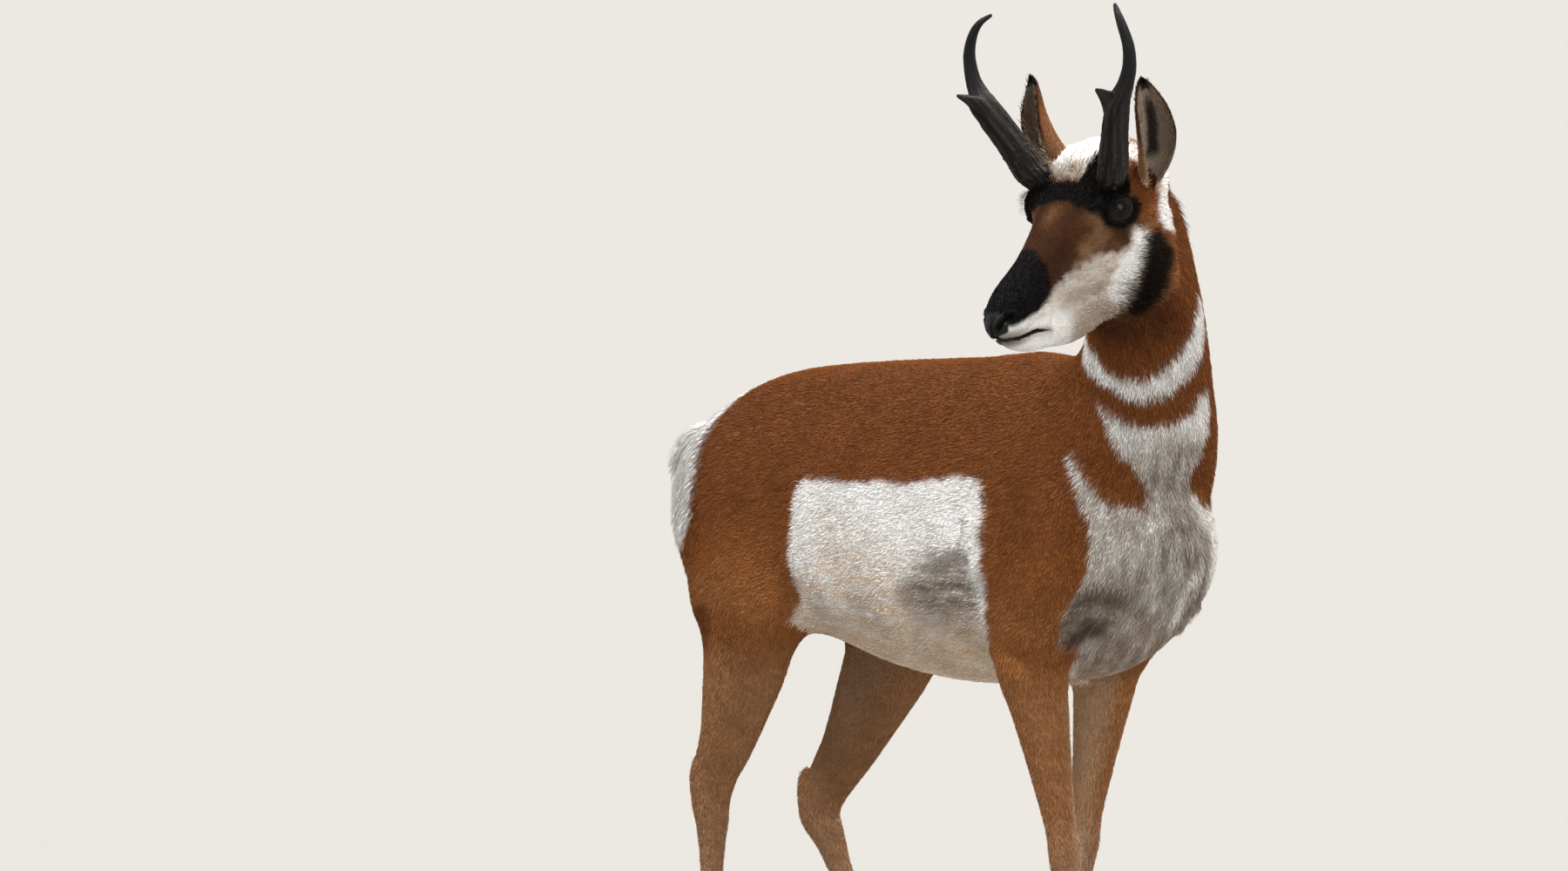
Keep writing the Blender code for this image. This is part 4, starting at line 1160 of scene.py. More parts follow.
        face.lay(Tone.DARK_RUST, temple)
        face.lay(Tone.ORANGE, temple * (0.15 + 0.35 * streaks))
        cheek = self.patch(ahead, up, CHEEK_WHITE, 2.0 * ragged, 0.0075)
        face.lay(Tone.CREAM, 0.92 * cheek)
        edge = from_line(sided[:, [0, 2]], CHEEK_EDGE)
        bright = np.maximum(ease(0.026, 0.01, edge), ease(0.08, 0.105, ahead))
        bright = bright * self.patch(ahead, up, CHEEK_BRIGHT, ragged, 0.009)
        face.lay(Tone.WHITE, cheek * np.maximum(0.15 + 0.5 * streaks, bright))
        face.lay(Tone.FAWN, 0.3 * cheek * (1 - streaks) * (1 - 0.7 * bright))
        jowl = 0.6 * cheek * ease(-0.088, -0.116, up) * ease(0.135, 0.1, ahead)
        face.lay(Tone.FAWN, jowl * (1 - 0.8 * bright))
        shade = bell(from_line(sided[:, [0, 2]], CHEEK_SHADE), 0.008)
        face.lay(Tone.FAWN, 0.45 * cheek * shade * (1 - 0.5 * bright))
        face.lay(Tone.WHITE, self.patch(ahead, up, EAR_WHITE, ragged, 0.004) * ease(0.02, 0.034, out))
        patch = self.patch(ahead, up, CHEEK_BLACK, 1.6 * ragged, 0.008)
        face.lay(Tone.BLACK, 0.97 * patch * ease(0.012, 0.03, out))
        start = 0.004 - 0.036 * ease(0.009, 0.021, left) - 0.022 * ease(0.034, 0.046, -left)
        stop = 0.036 - 0.006 * ease(0.024, 0.034, out) + 0.2 * np.maximum(out - 0.026, 0)
        band = ease(start - 0.004, start + 0.004, ahead + ragged)
        band *= ease(stop + 0.003, stop - 0.004, ahead + ragged)
        face.lay(Tone.BLACK, band * ease(0.002, 0.01, up))
        ring = ease(0.03, 0.025, np.hypot(ahead + 0.002, out - 0.058))
        face.lay(Tone.BLACK, ring * ease(-0.016, -0.008, ahead) * ease(0, 0.008, up))
        face.lay(Tone.BLACK, self.patch(ahead, up, EYE_BLACK, 0.6 * ragged, 0.003) * ease(0.03, 0.042, out))
        face.lay(Tone.BLACK, self.patch(ahead, up, MUZZLE_BLACK, 0.8 * ragged, 0.004))
        lip = from_line(np.stack([ahead, up], axis=1), MOUTH)
        mouth = ease(0.126, 0.138, ahead)
        face.lay(Tone.GREY, 0.6 * mouth * ease(0.16, 0.195, ahead) * ease(0.016, 0.006, lip))
        face.lay(Tone.GREY, 0.7 * mouth * bell(lip, 0.0055))
        under = bell(lip + 0.002 * ease(0, 0.004, up + 0.08), 0.006)
        face.lay(Tone.UMBER, 0.6 * mouth * ease(0.18, 0.2, ahead) * under)
        corner = 0.35 + 0.65 * ease(0.134, 0.162, ahead)
        face.lay(Tone.BLACK, mouth * ease(0.0034, 0.002, lip / corner) * (0.5 + 0.5 * corner))
        face.lay(Tone.BLACK, ease(0.0075, 0.005, out) * ease(0.2, 0.206, ahead) * ease(-0.072, -0.069, up))
        throat = ease(-0.128, -0.146, up) * ease(0.115, 0.08, ahead)
        face.lay(Tone.DARK_RUST, 0.9 * throat)
        paint.colour += (face.colour - paint.colour) * here[:, None]

    def colours(self, survey: Survey) -> Array:
        """Every marking at the surveyed points.

        Args:
            survey: the points and where on the body they are.

        Returns:
            Linear red, green and blue for each point.
        """
        points = survey.points
        ragged = 0.0017 * ripple(points, 0.012, 1) + 0.003 * ripple(points, 0.046, 2)
        paint = Paint(len(points), Tone.RUST)
        white = self.body(survey, ragged, paint)
        self.legs(survey, 1 - white, paint)
        self.neck(survey, ragged, paint)
        self.head(survey, ragged * 0.7, paint)
        paint.shade(1 + 0.08 * ripple(points, 0.11, 3) + 0.1 * ripple(points, 0.02, 4))
        return np.clip(paint.colour, *COLOUR_LIMITS)


# ---------------------------- finishes
class Nodes:
    """Adds nodes to a tree and joins them."""

    def __init__(self, tree: bpy.types.NodeTree) -> None:
        """Works on this tree."""
        self.tree = tree

    def add(self, kind: str, inputs: dict | None = None, **settings: object) -> bpy.types.Node:
        """A node with its settings, and its inputs set to values or joined to sockets.

        Args:
            kind: the node's type.
            inputs: a value or an output socket for each input, by name or number.
            settings: attributes of the node.

        Returns:
            The node.
        """
        node = self.tree.nodes.new(kind)
        for name, value in settings.items():  # before the inputs, which a group node has from its tree
            setattr(node, name, value)
        for name, value in (inputs or {}).items():
            if isinstance(value, bpy.types.NodeSocket):
                self.tree.links.new(value, node.inputs[name])
            else:
                node.inputs[name].default_value = value
        return node


def grain_group() -> bpy.types.NodeTree:
    """The fine grain that hide, horn and hoof share: noise stretched along a map's second axis.

    Returns:
        A group that takes a vector in metres and waves for each metre across and along, and puts out a height
        of 0 to 1 and a shade about 1.
    """
    group = bpy.data.node_groups.new("Grain", "ShaderNodeTree")
    inputs = {"Vector": "NodeSocketVector", "Across": "NodeSocketFloat", "Along": "NodeSocketFloat"}
    for name, kind in inputs.items():
        group.interface.new_socket(name, in_out="INPUT", socket_type=kind)
    for name in ("Height", "Shade"):
        group.interface.new_socket(name, in_out="OUTPUT", socket_type="NodeSocketFloat")
    nodes = Nodes(group)
    given = nodes.add("NodeGroupInput").outputs
    across, along = given["Across"], given["Along"]
    scale = nodes.add("ShaderNodeCombineXYZ", {"X": across, "Y": along, "Z": across})
    place = nodes.add("ShaderNodeVectorMath", {0: given["Vector"], 1: scale.outputs[0]}, operation="MULTIPLY")
    noise = nodes.add("ShaderNodeTexNoise", {"Vector": place.outputs[0], "Scale": 1.0, "Detail": 3.0})
    limits = {"From Min": 0.25, "From Max": 0.75, "To Min": 0.78, "To Max": 1.18}
    shade = nodes.add("ShaderNodeMapRange", {"Value": noise.outputs["Fac"]} | limits)
    ends = nodes.add("NodeGroupOutput")
    group.links.new(noise.outputs["Fac"], ends.inputs["Height"])
    group.links.new(shade.outputs["Result"], ends.inputs["Shade"])
    return group


@dataclass(frozen=True)
class Finish:
    """A surface coloured by the coat attribute, with stretched grain.

    The alpha of the attribute is how bare and moist the surface is, from 0 to 1.
    """

    name: str
    slot: str
    roughness: float
    bare_roughness: float | None = None  # only where it differs
    gloss: float = 0.0  # weight of a clear coat
    specular: float = 0.5
    across: float = 0.0  # the grain's waves for each metre round the piece
    along: float = 0.0
    bump: float = 0.0  # the grain's depth in metres; with none there is no grain

    def material(self, grain: bpy.types.NodeTree) -> bpy.types.Material:
        """Builds the material.

        Args:
            grain: the shared grain group.

        Returns:
            The material.
        """
        made = bpy.data.materials.new(self.name)
        made.use_nodes = True
        nodes = Nodes(made.node_tree)
        shader = made.node_tree.nodes["Principled BSDF"]
        colour = nodes.add("ShaderNodeAttribute", attribute_name=COAT_COLOUR).outputs
        base = colour["Color"]
        if self.bump:
            place = nodes.add("ShaderNodeUVMap", uv_map=GRAIN_MAP).outputs["UV"]
            given = {"Vector": place, "Across": self.across, "Along": self.along}
            effect = nodes.add("ShaderNodeGroup", given, node_tree=grain).outputs
            relief = {"Height": effect["Height"], "Distance": self.bump, "Strength": 1.0}
            bump = nodes.add("ShaderNodeBump", relief)
            mixed = nodes.add("ShaderNodeVectorMath", {0: base, "Scale": effect["Shade"]}, operation="SCALE")
            base = mixed.outputs[0]
            made.node_tree.links.new(bump.outputs[0], shader.inputs["Normal"])
        made.node_tree.links.new(base, shader.inputs["Base Color"])
        if self.bare_roughness is not None:
            ends = {"Value": colour["Alpha"], "To Min": self.roughness, "To Max": self.bare_roughness}
            rough = nodes.add("ShaderNodeMapRange", ends).outputs["Result"]
            made.node_tree.links.new(rough, shader.inputs["Roughness"])
        else:
            shader.inputs["Roughness"].default_value = self.roughness
        shader.inputs["Coat Weight"].default_value = self.gloss
        shader.inputs["Coat Roughness"].default_value = 0.03
        shader.inputs["Specular IOR Level"].default_value = self.specular
        return made


HIDE = Finish("Hide under hair", "coat", 0.85, 0.32, across=850, along=130, bump=0.0007, specular=0.22)
HAIR = Finish("Body hair", "coat", 0.86, specular=0.04)
PALE_HAIR = Finish("Rump and tail hair", "tail_coat", 0.85, specular=0.12)
EAR_HIDE = Finish("Ear hide", "ear_coat", 0.78, across=900, along=150, bump=0.0004, specular=0.2)
EAR_HAIR = Finish("Ear hair", "ear_coat", 0.86, specular=0.06)
HORN_SHEATH = Finish("Horn sheath", "horn", 0.5, across=420, along=120, bump=0.0008, specular=0.12)
HOOF_HORN = Finish("Hoof horn", "hoof", 0.42, across=260, along=700, bump=0.0004, specular=0.5)
EYEBALL = Finish("Eyeball", "eye", 0.05, gloss=0.3, specular=0.0)
LASH = Finish("Eyelashes", "eye", 0.5, specular=0.3)


@dataclass
class Bench:
    """Turns surfaces in the body's own frame into finished objects of the model."""

    shift: Array = field(default_factory=lambda: np.zeros(3))
    grain: bpy.types.NodeTree | None = None
    materials: dict[str, bpy.types.Material] = field(default_factory=dict)
    triangles: int = 0

    def __post_init__(self) -> None:
        """Finds the shift of the row frame from where the CAD's eyes are."""
        middles = [np.mean(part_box("eye_" + side.word), axis=0) for side in Side]
        self.shift = np.mean(middles, axis=0) - EYE_MIDPOINT
        self.grain = grain_group()

    def piece(
        self,
        name: str,
        surface: Surface,
        finish: Finish,
        colours: Array,
        replaces: Sequence[str] = (),
        maps: dict[str, Array] | None = None,
        smooth: bool = True,
    ) -> bpy.types.Object:
        """A finished object that rides the one body.

        Args:
            name: its name.
            surface: its points and faces.
            finish: what it is made of.
            colours: linear red, green, blue and bareness for each point, or the first three.
            replaces: CAD nodes it stands for.
            maps: a map's name with its place for each face corner, quads first.
            smooth: whether its shading is smooth.

        Returns:
            The object, at the origin.
        """
        mesh = bpy.data.meshes.new(name)
        corners = surface.corners()
        after = surface.quads.size + np.arange(len(surface.tris)) * 3
        starts = np.concatenate([np.arange(len(surface.quads)) * 4, after])
        mesh.vertices.add(len(surface.points))
        mesh.vertices.foreach_set("co", (surface.points + self.shift).ravel())
        mesh.loops.add(len(corners))
        mesh.loops.foreach_set("vertex_index", corners.astype(np.int32))
        mesh.polygons.add(len(starts))
        mesh.polygons.foreach_set("loop_start", starts.astype(np.int32))
        mesh.update(calc_edges=True)
        mesh.polygons.foreach_set("use_smooth", np.full(len(starts), smooth))
        full = np.ones((len(surface.points), 4))
        full[:, 3] = 0
        full[:, : colours.shape[1]] = colours
        layer = mesh.color_attributes.new(COAT_COLOUR, "FLOAT_COLOR", "POINT")
        layer.data.foreach_set("color", full.ravel())
        for title, places in (maps or {}).items():
            mesh.uv_layers.new(name=title).data.foreach_set("uv", np.asarray(places, float).ravel())
        mesh.validate()
        obj = bpy.data.objects.new(name, mesh)
        bpy.context.scene.collection.objects.link(obj)
        if finish.name not in self.materials:
            self.materials[finish.name] = finish.material(self.grain)
        mesh.materials.append(self.materials[finish.name])
        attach(obj, BODY)
        if replaces:
            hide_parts(*replaces)
        count = 2 * len(surface.quads) + len(surface.tris)
        self.triangles += count
        LOG.info("%s: %d triangles", name, count)
        return obj


# ---------------------------- the skin
# Swells and hollows of the head: ahead, outward, up, radius, height.
HEAD_FORMS = mm(
    (42, 46, -12, 16, -0.8), (20, 60, -26, 13, 2.6), (-30, 60, -72, 30, 3.4), (60, 36, -60, 22, -3.2),
    (110, 30, -30, 20, -1.4), (142, 30, -72, 15, 3), (196, 24, -48, 10, 1.8), (165, 10, -112, 18, 1.6),
    (150, 22, -104, 15, 1.6), (-40, 58, 10, 16, -2), (-22, 46, 28, 18, 3), (-38, 0, 56, 17, -3),
    (-36, 26, 56, 14, 5.5), (-16, 66, 20, 12, 5.2), (-6, 68, 30, 12, 4.2), (-26, 58, 32, 12, 4),
)
# Swells and hollows of the body: x, outward, z, radius, height.
BODY_FORMS = mm(
    (-175, 120, 690, 65, -6), (-255, 80, 850, 36, 3.5), (165, 135, 715, 34, -3), (160, 140, 612, 45, -10),
    (208, 136, 690, 20, 4.5), (206, 134, 640, 20, 4.5), (360, 85, 745, 45, 9), (340, 74, 562, 20, -6),
    (428, 12, 636, 18, 3.5), (255, 120, 740, 45, 3), (310, 115, 700, 30, 2), (330, 90, 770, 35, -3.5),
    (245, 115, 555, 28, 4), (60, 140, 590, 60, 3), (-245, 115, 575, 35, 3.5), (400, 20, 650, 30, 3.5),
)


# Metres on the grain's map for a radian round each part.
GIRTH = (0.14, 0.09, 0.06, 0.02, 0.02, 0.02, 0.02, 0.02)


@dataclass
class Skin:
    """The one skin over the body: the union of its masses, eased, sunk by the coat's depth and folded."""

    anatomy: Anatomy
    voxel: float = 0.0067
    flesh: tuple[str, ...] = ("trunk", "neck", "head", *LEGS, "tail")
    surface: Surface | None = None
    survey: Survey | None = None

    def finer(self, surface: Surface, zone: Callable[[Array], Array], rounds: int) -> Surface:
        """Cuts the faces of a zone in four and eases its points.

        Args:
            surface: the surface before.
            zone: takes points and says which lie in the zone.
            rounds: how often the points move half way to their neighbours' mean.

        Returns:
            The finer surface.
        """
        made = refined(surface, zone)
        made.points = made.eased(made.points, zone(made.points).astype(float), rounds)
        return made

    def build(self) -> None:
        """Makes the surface."""
        surface = merged(self.anatomy.masses(), self.voxel)
        low = np.clip((surface.points[:, 2] - LEG_FREE) / 0.06, 0, 1)
        away = np.clip((np.linalg.norm(surface.points - EYE_MIDPOINT, axis=1) - HEAD_REACH) / 0.08, 0, 1)
        surface.points = surface.eased(surface.points, 0.25 + 0.75 * away, 4)
        surface.points = surface.eased(surface.points, low * away, 32)
        LOG.info("skin: %d points before refining", len(surface.points))
        nose = self.anchor(surface, NOSTRIL)

        def head(points: Array) -> Array:
            """The head, with a little of the neck."""
            return (head_share(points) > -0.012) & (np.linalg.norm(points - EYE_MIDPOINT, axis=1) < 0.3)

        def face(points: Array) -> Array:
            """The muzzle's end and round the eyes."""
            places = folded(to_head(points))
            reach = np.linalg.norm(places - [0, EYE_SPACING, 0], axis=1)
            eyes = (reach < EYE_REACH) & (places[:, 1] > 0.045)
            return head(points) & ((places[:, 0] > MUZZLE_FROM) | eyes)

        def rims(points: Array) -> Array:
            """Round the lids' rims, the mouth and the nostrils."""
            places = folded(to_head(points))
            reach, rim, _ = OPENING.measure(places)
            lids = (np.abs(rim) < 0.0075) & (reach < EYE_REACH) & (places[:, 1] > 0.05)
            lip = (from_line(places[:, [0, 2]], MOUTH) < 0.0045) & (places[:, 0] > 0.115)
            return head(points) & (lids | lip | (from_line(places, nose) < 0.009))

        def edges(points: Array) -> Array:
            """The lids' rims and the nostrils themselves."""
            places = folded(to_head(points))
            reach, rim, _ = OPENING.measure(places)
            lids = (np.abs(rim - 0.0006) < 0.0026) & (reach < EYE_REACH) & (places[:, 1] > 0.05)
            return head(points) & (lids | (from_line(places, nose) < 0.005))

        for zone, rounds in ((head, 3), (face, 3), (rims, 2), (edges, 1)):
            surface = self.finer(surface, zone, rounds)
        survey = self.anatomy.survey(surface.points)
        depth = surface.eased(self.depth(survey)[:, None], 1.0, 16)
        surface.points = surface.points - surface.normals() * depth
        self.surface = surface
        self.fold(nose)
        self.lids()
        self.survey = self.anatomy.survey(surface.points)
        LOG.info("skin: %d points", len(surface.points))

    def anchor(self, surface: Surface, line: Array) -> Array:
        """A line of head places moved onto the nearest points of the surface's left side.

        Args:
            surface: where the points are.
            line: head places on the left side.

        Returns:
            The moved head places.
        """
        places = to_head(surface.points)
        near = np.array([places[np.linalg.norm(places - corner, axis=1).argmin()] for corner in line])
        return 0.5 * near + 0.5 * (line + (near - line).mean(axis=0))

    def depth(self, survey: Survey) -> Array:
        """The coat's depth at each point, which the skin lies inside the flesh by.

        Args:
            survey: the points.

        Returns:
            Metres for each point.
        """
        x, y, z = survey.points.T
        ahead = to_head(survey.points)[:, 0]
        deep = np.full(len(x), 0.0058) + 0.0012 * survey.of(Part.NECK)
        deep += 0.003 * ease(-0.31, -0.37, x) * ease(0.6, 0.66, z)
        deep = np.where(survey.of(Part.TAIL), 0.003, deep)
        deep += (0.0022 - deep) * ease(0.6, 0.48, z)
        face = 0.003 - 0.002 * ease(-0.02, 0.12, ahead)
        return np.where(survey.of(Part.HEAD), face, deep)

    def fold(self, nose: Array) -> None:
        """Presses in the nostrils, the mouth and the creases, and raises the swells, along the normals.

        Args:
            nose: the nostril's line in head places.
        """
        surface = self.surface
        points = surface.points
        places = folded(to_head(points))
        ahead, out, up = places.T
        on_head = head_share(points) > 0
        rise = np.zeros(len(points))
        for *centre, radius, height in HEAD_FORMS:
            rise += height * bell(np.linalg.norm(places - centre, axis=1), radius) * on_head
        flanks = folded(points)
        for *centre, radius, height in BODY_FORMS:
            rise += height * bell(np.linalg.norm(flanks - centre, axis=1), radius) * ~on_head
        for line, deep, width in BODY_CREASES:
            near = from_line(flanks, line)
            rise += (0.35 * deep * bell(near - 2.1 * width, width) - deep * bell(near, width)) * ~on_head
        lip = from_line(places[:, [0, 2]], MOUTH)
        front = ease(0.124, 0.138, ahead)
        rise += on_head * front * (0.0009 * bell(lip - 0.0042, 0.0026) - 0.003 * bell(lip, 0.0013))
        hole = from_line(places, nose)
        rise += on_head * (0.0011 * bell(hole - 0.0058, 0.0024) - 0.0075 * bell(hole, 0.0026))
        groove = bell(out, 0.0014) * ease(0.2, 0.208, ahead)
        groove = groove * ease(-0.076, -0.068, up) * ease(-0.044, -0.052, up)
        rise -= 0.0018 * groove * on_head
        crease = from_line(places[:, [0, 2]], CHEEK_CREASE)
        rise -= 0.0012 * bell(crease, 0.003) * on_head * ease(0.015, 0.025, out)
        tear = from_line(places, TEAR_LINE)
        rise -= 0.0012 * bell(tear, 0.0024) * on_head
        legs = self.anatomy.survey(points)
        cannon = ease(0.3, 0.26, points[:, 2]) * ease(0.125, 0.15, points[:, 2]) * legs.legs()
        rise -= 0.0016 * cannon * bell(np.abs(legs.turn) - 1.85, 0.28)
        surface.points = points + surface.normals() * rise[:, None]

    def lids(self) -> None:
        """Wraps the skin round the eyeballs: from behind them in the opening, over a rolled rim, to a lid
        that stands a little off the ball, a crease, and back to the brow and cheek."""
        surface = self.surface
        places = to_head(surface.points)
        side = np.where(places[:, 1] < 0, -1.0, 1.0)
        sided = np.stack([np.ones(len(side)), side, np.ones(len(side))], axis=1)
        reach, rim, seen = OPENING.measure(places * sided)
        stations = (-0.0032, -0.0014, 0.0, 0.0008, 0.0024, 0.0056, 0.0074, 0.0098)
        heights = (-0.005, -0.0034, 0.0003, 0.0017, 0.0027, 0.0028, 0.0017, 0.0026)
        lid = EYE_RADIUS + np.interp(rim, stations, heights)
        share = ease(0.018, 0.0088, rim) * (seen[:, 0] > 0) * (reach < 0.045)
        offset = places * sided - [0, EYE_SPACING, 0]
        moved = offset * (1 + share * (lid / np.maximum(reach, 1e-6) - 1))[:, None]
        surface.points = to_space((moved + [0, EYE_SPACING, 0]) * sided)

    def bareness(self) -> Array:
        """How bare and moist each point is: the nose, the rims of the lids and the lips.

        Returns:
            A share of 0 to 1 for each point.
        """
        places = folded(to_head(self.surface.points))
        ahead, _, up = places.T
        reach, rim, _ = OPENING.measure(places)
        here = ease(0, 0.004, self.survey.share)
        lids = ease(0.0018, 0.0008, rim) * ease(0.045, 0.035, reach)
        lips = ease(0.0022, 0.0012, from_line(places[:, [0, 2]], MOUTH)) * ease(0.138, 0.16, ahead)
        pad = ease(0.199, 0.206, ahead) * ease(-0.068, -0.064, up) * ease(-0.038, -0.044, up)
        return here * np.maximum(np.maximum(0.5 * lids, lips), pad)

    def grain_map(self) -> Array:
        """For each face corner, metres round its limb and metres along it, with no jump inside a face.

        Returns:
            Two metres for each face corner, quads first.
        """
        surface, survey = self.surface, self.survey
        chosen = []
        for faces in (surface.quads, surface.tris):
            label = np.repeat(survey.label[faces[:, :1]], faces.shape[1], axis=1)
            turn, along = survey.all_turn[label, faces], survey.all_along[label, faces]
            turn = turn + 2 * math.pi * np.round((turn[:, :1] - turn) / (2 * math.pi))
            chosen.append(np.stack([turn * np.array(GIRTH)[label], along], axis=-1).reshape(-1, 2))
        return np.vstack(chosen)

    def dress(self, bench: Bench, markings: Markings) -> None:
        """Makes the object, a little darker than the hair that lies over it.

        Args:
            bench: makes the object.
            markings: the coat's colours.
        """
        colours = markings.colours(self.survey) * UNDERCOAT
        bare = self.bareness()[:, None]
        colours += (np.array(Tone.BLACK.value) - colours) * np.clip(bare * 2.2, 0, 1)
        colours = np.hstack([colours, bare])
        bench.piece("skin", self.surface, HIDE, colours, self.flesh, {GRAIN_MAP: self.grain_map()})


# ---------------------------- hair
LEAF = np.array([[0, 3, 1], [0, 2, 3], [1, 3, 4], [3, 2, 4], [0, 1, 2], [1, 4, 2]])  # the triangles of a tuft


class Hair(Enum):
    """Kinds of hair: tufts for each square metre, length, width, lift of the tips, and stray in radians."""

    TRUNK = (130000, 0.0115, 0.00116, 0.0026, 0.15)
    NECK = (132000, 0.013, 0.00118, 0.0033, 0.18)
    CHEST = (128000, 0.0145, 0.00122, 0.0038, 0.22)
    RUMP = (140000, 0.027, 0.0017, 0.0062, 0.14)
    LEG = (170000, 0.0085, 0.00095, 0.0016, 0.12)
    CORONET = (190000, 0.011, 0.00095, 0.0024, 0.14)
    TAIL = (210000, 0.027, 0.0015, 0.0055, 0.16)
    FACE = (390000, 0.0068, 0.00082, 0.0015, 0.13)
    POLL = (260000, 0.0115, 0.0011, 0.0032, 0.18)
    JAW = (260000, 0.011, 0.0011, 0.003, 0.18)
    FORELOCK = (260000, 0.015, 0.0012, 0.0066, 0.4)
    HORN_BASE = (300000, 0.0125, 0.001, 0.0058, 0.3)
    MUZZLE = (520000, 0.0046, 0.00072, 0.0009, 0.1)
    LIDS = (480000, 0.004, 0.0007, 0.0009, 0.1)
    MANE = (120000, 0.032, 0.0016, 0.012, 0.2)


@dataclass
class Growth:
    """Hair on a surface, as numbers for each of its points."""

    density: Array  # tufts for each square metre
    length: Array
    width: Array
    lift: Array  # how far the tips stand off
    stray: Array  # radians that a tuft's lie strays by

    def table(self) -> Array:
        """The numbers as columns."""
        return np.stack([self.density, self.length, self.width, self.lift, self.stray], axis=1)


@dataclass
class Tufts:
    """Thin locks, each a closed leaf of five points: root, two edges and a ridge part way, and tip."""

    roots: Array
    normals: Array
    lies: Array
    length: Array
    width: Array
    lift: Array
    bend: Array
    colours: Array
    places: Array
    root_shade: float = 0.84
    tip_shade: float = 1.07

    @staticmethod
    def sown(
        surface: Surface, growth: Growth, lies: Array, columns: Array, random: np.random.Generator
    ) -> tuple[Array, ...]:
        """Scatters roots evenly over the faces by area times density.

        Args:
            surface: where the hair grows.
            growth: its numbers on the points.
            lies: the direction it lies in on the points.
            columns: further rows on the points to read at the roots.
            random: where chance comes from.

        Returns:
            Roots, normals, lies, growth numbers and the further columns, at the roots.
        """
        tris = surface.all_tris()
        a, b, c = (surface.points[tris[:, i]] for i in range(3))
        area = 0.5 * np.linalg.norm(np.cross(b - a, c - a), axis=1)
        table = growth.table()
        due = area * table[tris, 0].mean(axis=1)
        chosen = np.repeat(np.arange(len(tris)), np.floor(due + random.random(len(tris))).astype(int))
        first, second = np.sqrt(random.random(len(chosen))), random.random(len(chosen))
        shares = np.stack([1 - first, first * (1 - second), first * second], axis=1)

        def read(values: Array) -> Array:
            """The values at the roots, from those at their faces' corners."""
            return np.einsum("ij,ijk->ik", shares, values[tris[chosen]])

        normals = unit(read(surface.normals()))
        lie = read(lies)
        lie = unit(lie - normals * dots(lie, normals)[:, None])
        return read(surface.points), normals, lie, read(table), read(columns)

    def solids(self) -> Surface:
        """The leaves: a point just under the skin, the full width at 0.4 of the length with a ridge a third
        of the width higher, and a point at the end, raised by the lift and swung aside by the bend.

        Returns:
            One surface of all the leaves.
        """
        across = np.cross(self.lies, self.normals)
        half = 0.5 * self.width[:, None] * across
        middle = self.roots + self.lies * (0.4 * self.length)[:, None]
        middle = middle + self.normals * (0.55 * self.lift)[:, None]
        middle = middle + across * (0.3 * self.bend * self.length)[:, None]
        low = self.roots - self.normals * 0.0007
        ridge = middle + self.normals * (0.34 * self.width)[:, None]
        tip = self.roots + self.lies * self.length[:, None] + self.normals * self.lift[:, None]
        tip = tip + across * (self.bend * self.length)[:, None]
        points = np.stack([low, middle - half, middle + half, ridge, tip], axis=1)
        tris = LEAF[None] + (np.arange(len(points)) * 5)[:, None, None]
        return Surface(points.reshape(-1, 3), tris=tris.reshape(-1, 3))

    def shades(self) -> Array:
        """Colours of the leaves' points: dark at the root, light at the tip."""
        scale = np.array([self.root_shade, 1, 1, 1.03, self.tip_shade])
        return np.clip(self.colours[:, None, :] * scale[None, :, None], 0.002, 0.95).reshape(-1, 3)

    def bake_map(self) -> Array:
        """For each face corner, a patch 0.003 across at the root's place on the unwrap."""
        patch = np.array([[0, -1], [-1, 0], [1, 0], [0, 0.1], [0, 1]]) * 0.0015
        return (0.002 + 0.996 * self.places[:, None, :] + patch[LEAF.ravel()][None]).reshape(-1, 2)


def spread_out(groups: Array, along: Array, turn: Array) -> Array:
    """Places on a unit square for an unwrap: a column for each group, as wide as its share, in which metres
    along run up and the turn round the limb runs across.

    Args:
        groups: a number for each point.
        along: metres along the limb.
        turn: turn round the limb.

    Returns:
        Two numbers of 0 to 1 for each point.
    """
    places = np.zeros((len(groups), 2))
    start = 0.0
    for group in np.unique(groups):
        own = groups == group
        width = own.mean()
        spans = []
        for values in (turn[own], along[own]):
            low, high = values.min(), values.max()
            spans.append((values - low) / max(high - low, 1e-9))
        places[own] = np.stack([start + spans[0] * width, spans[1]], axis=1)
        start += width
    return places


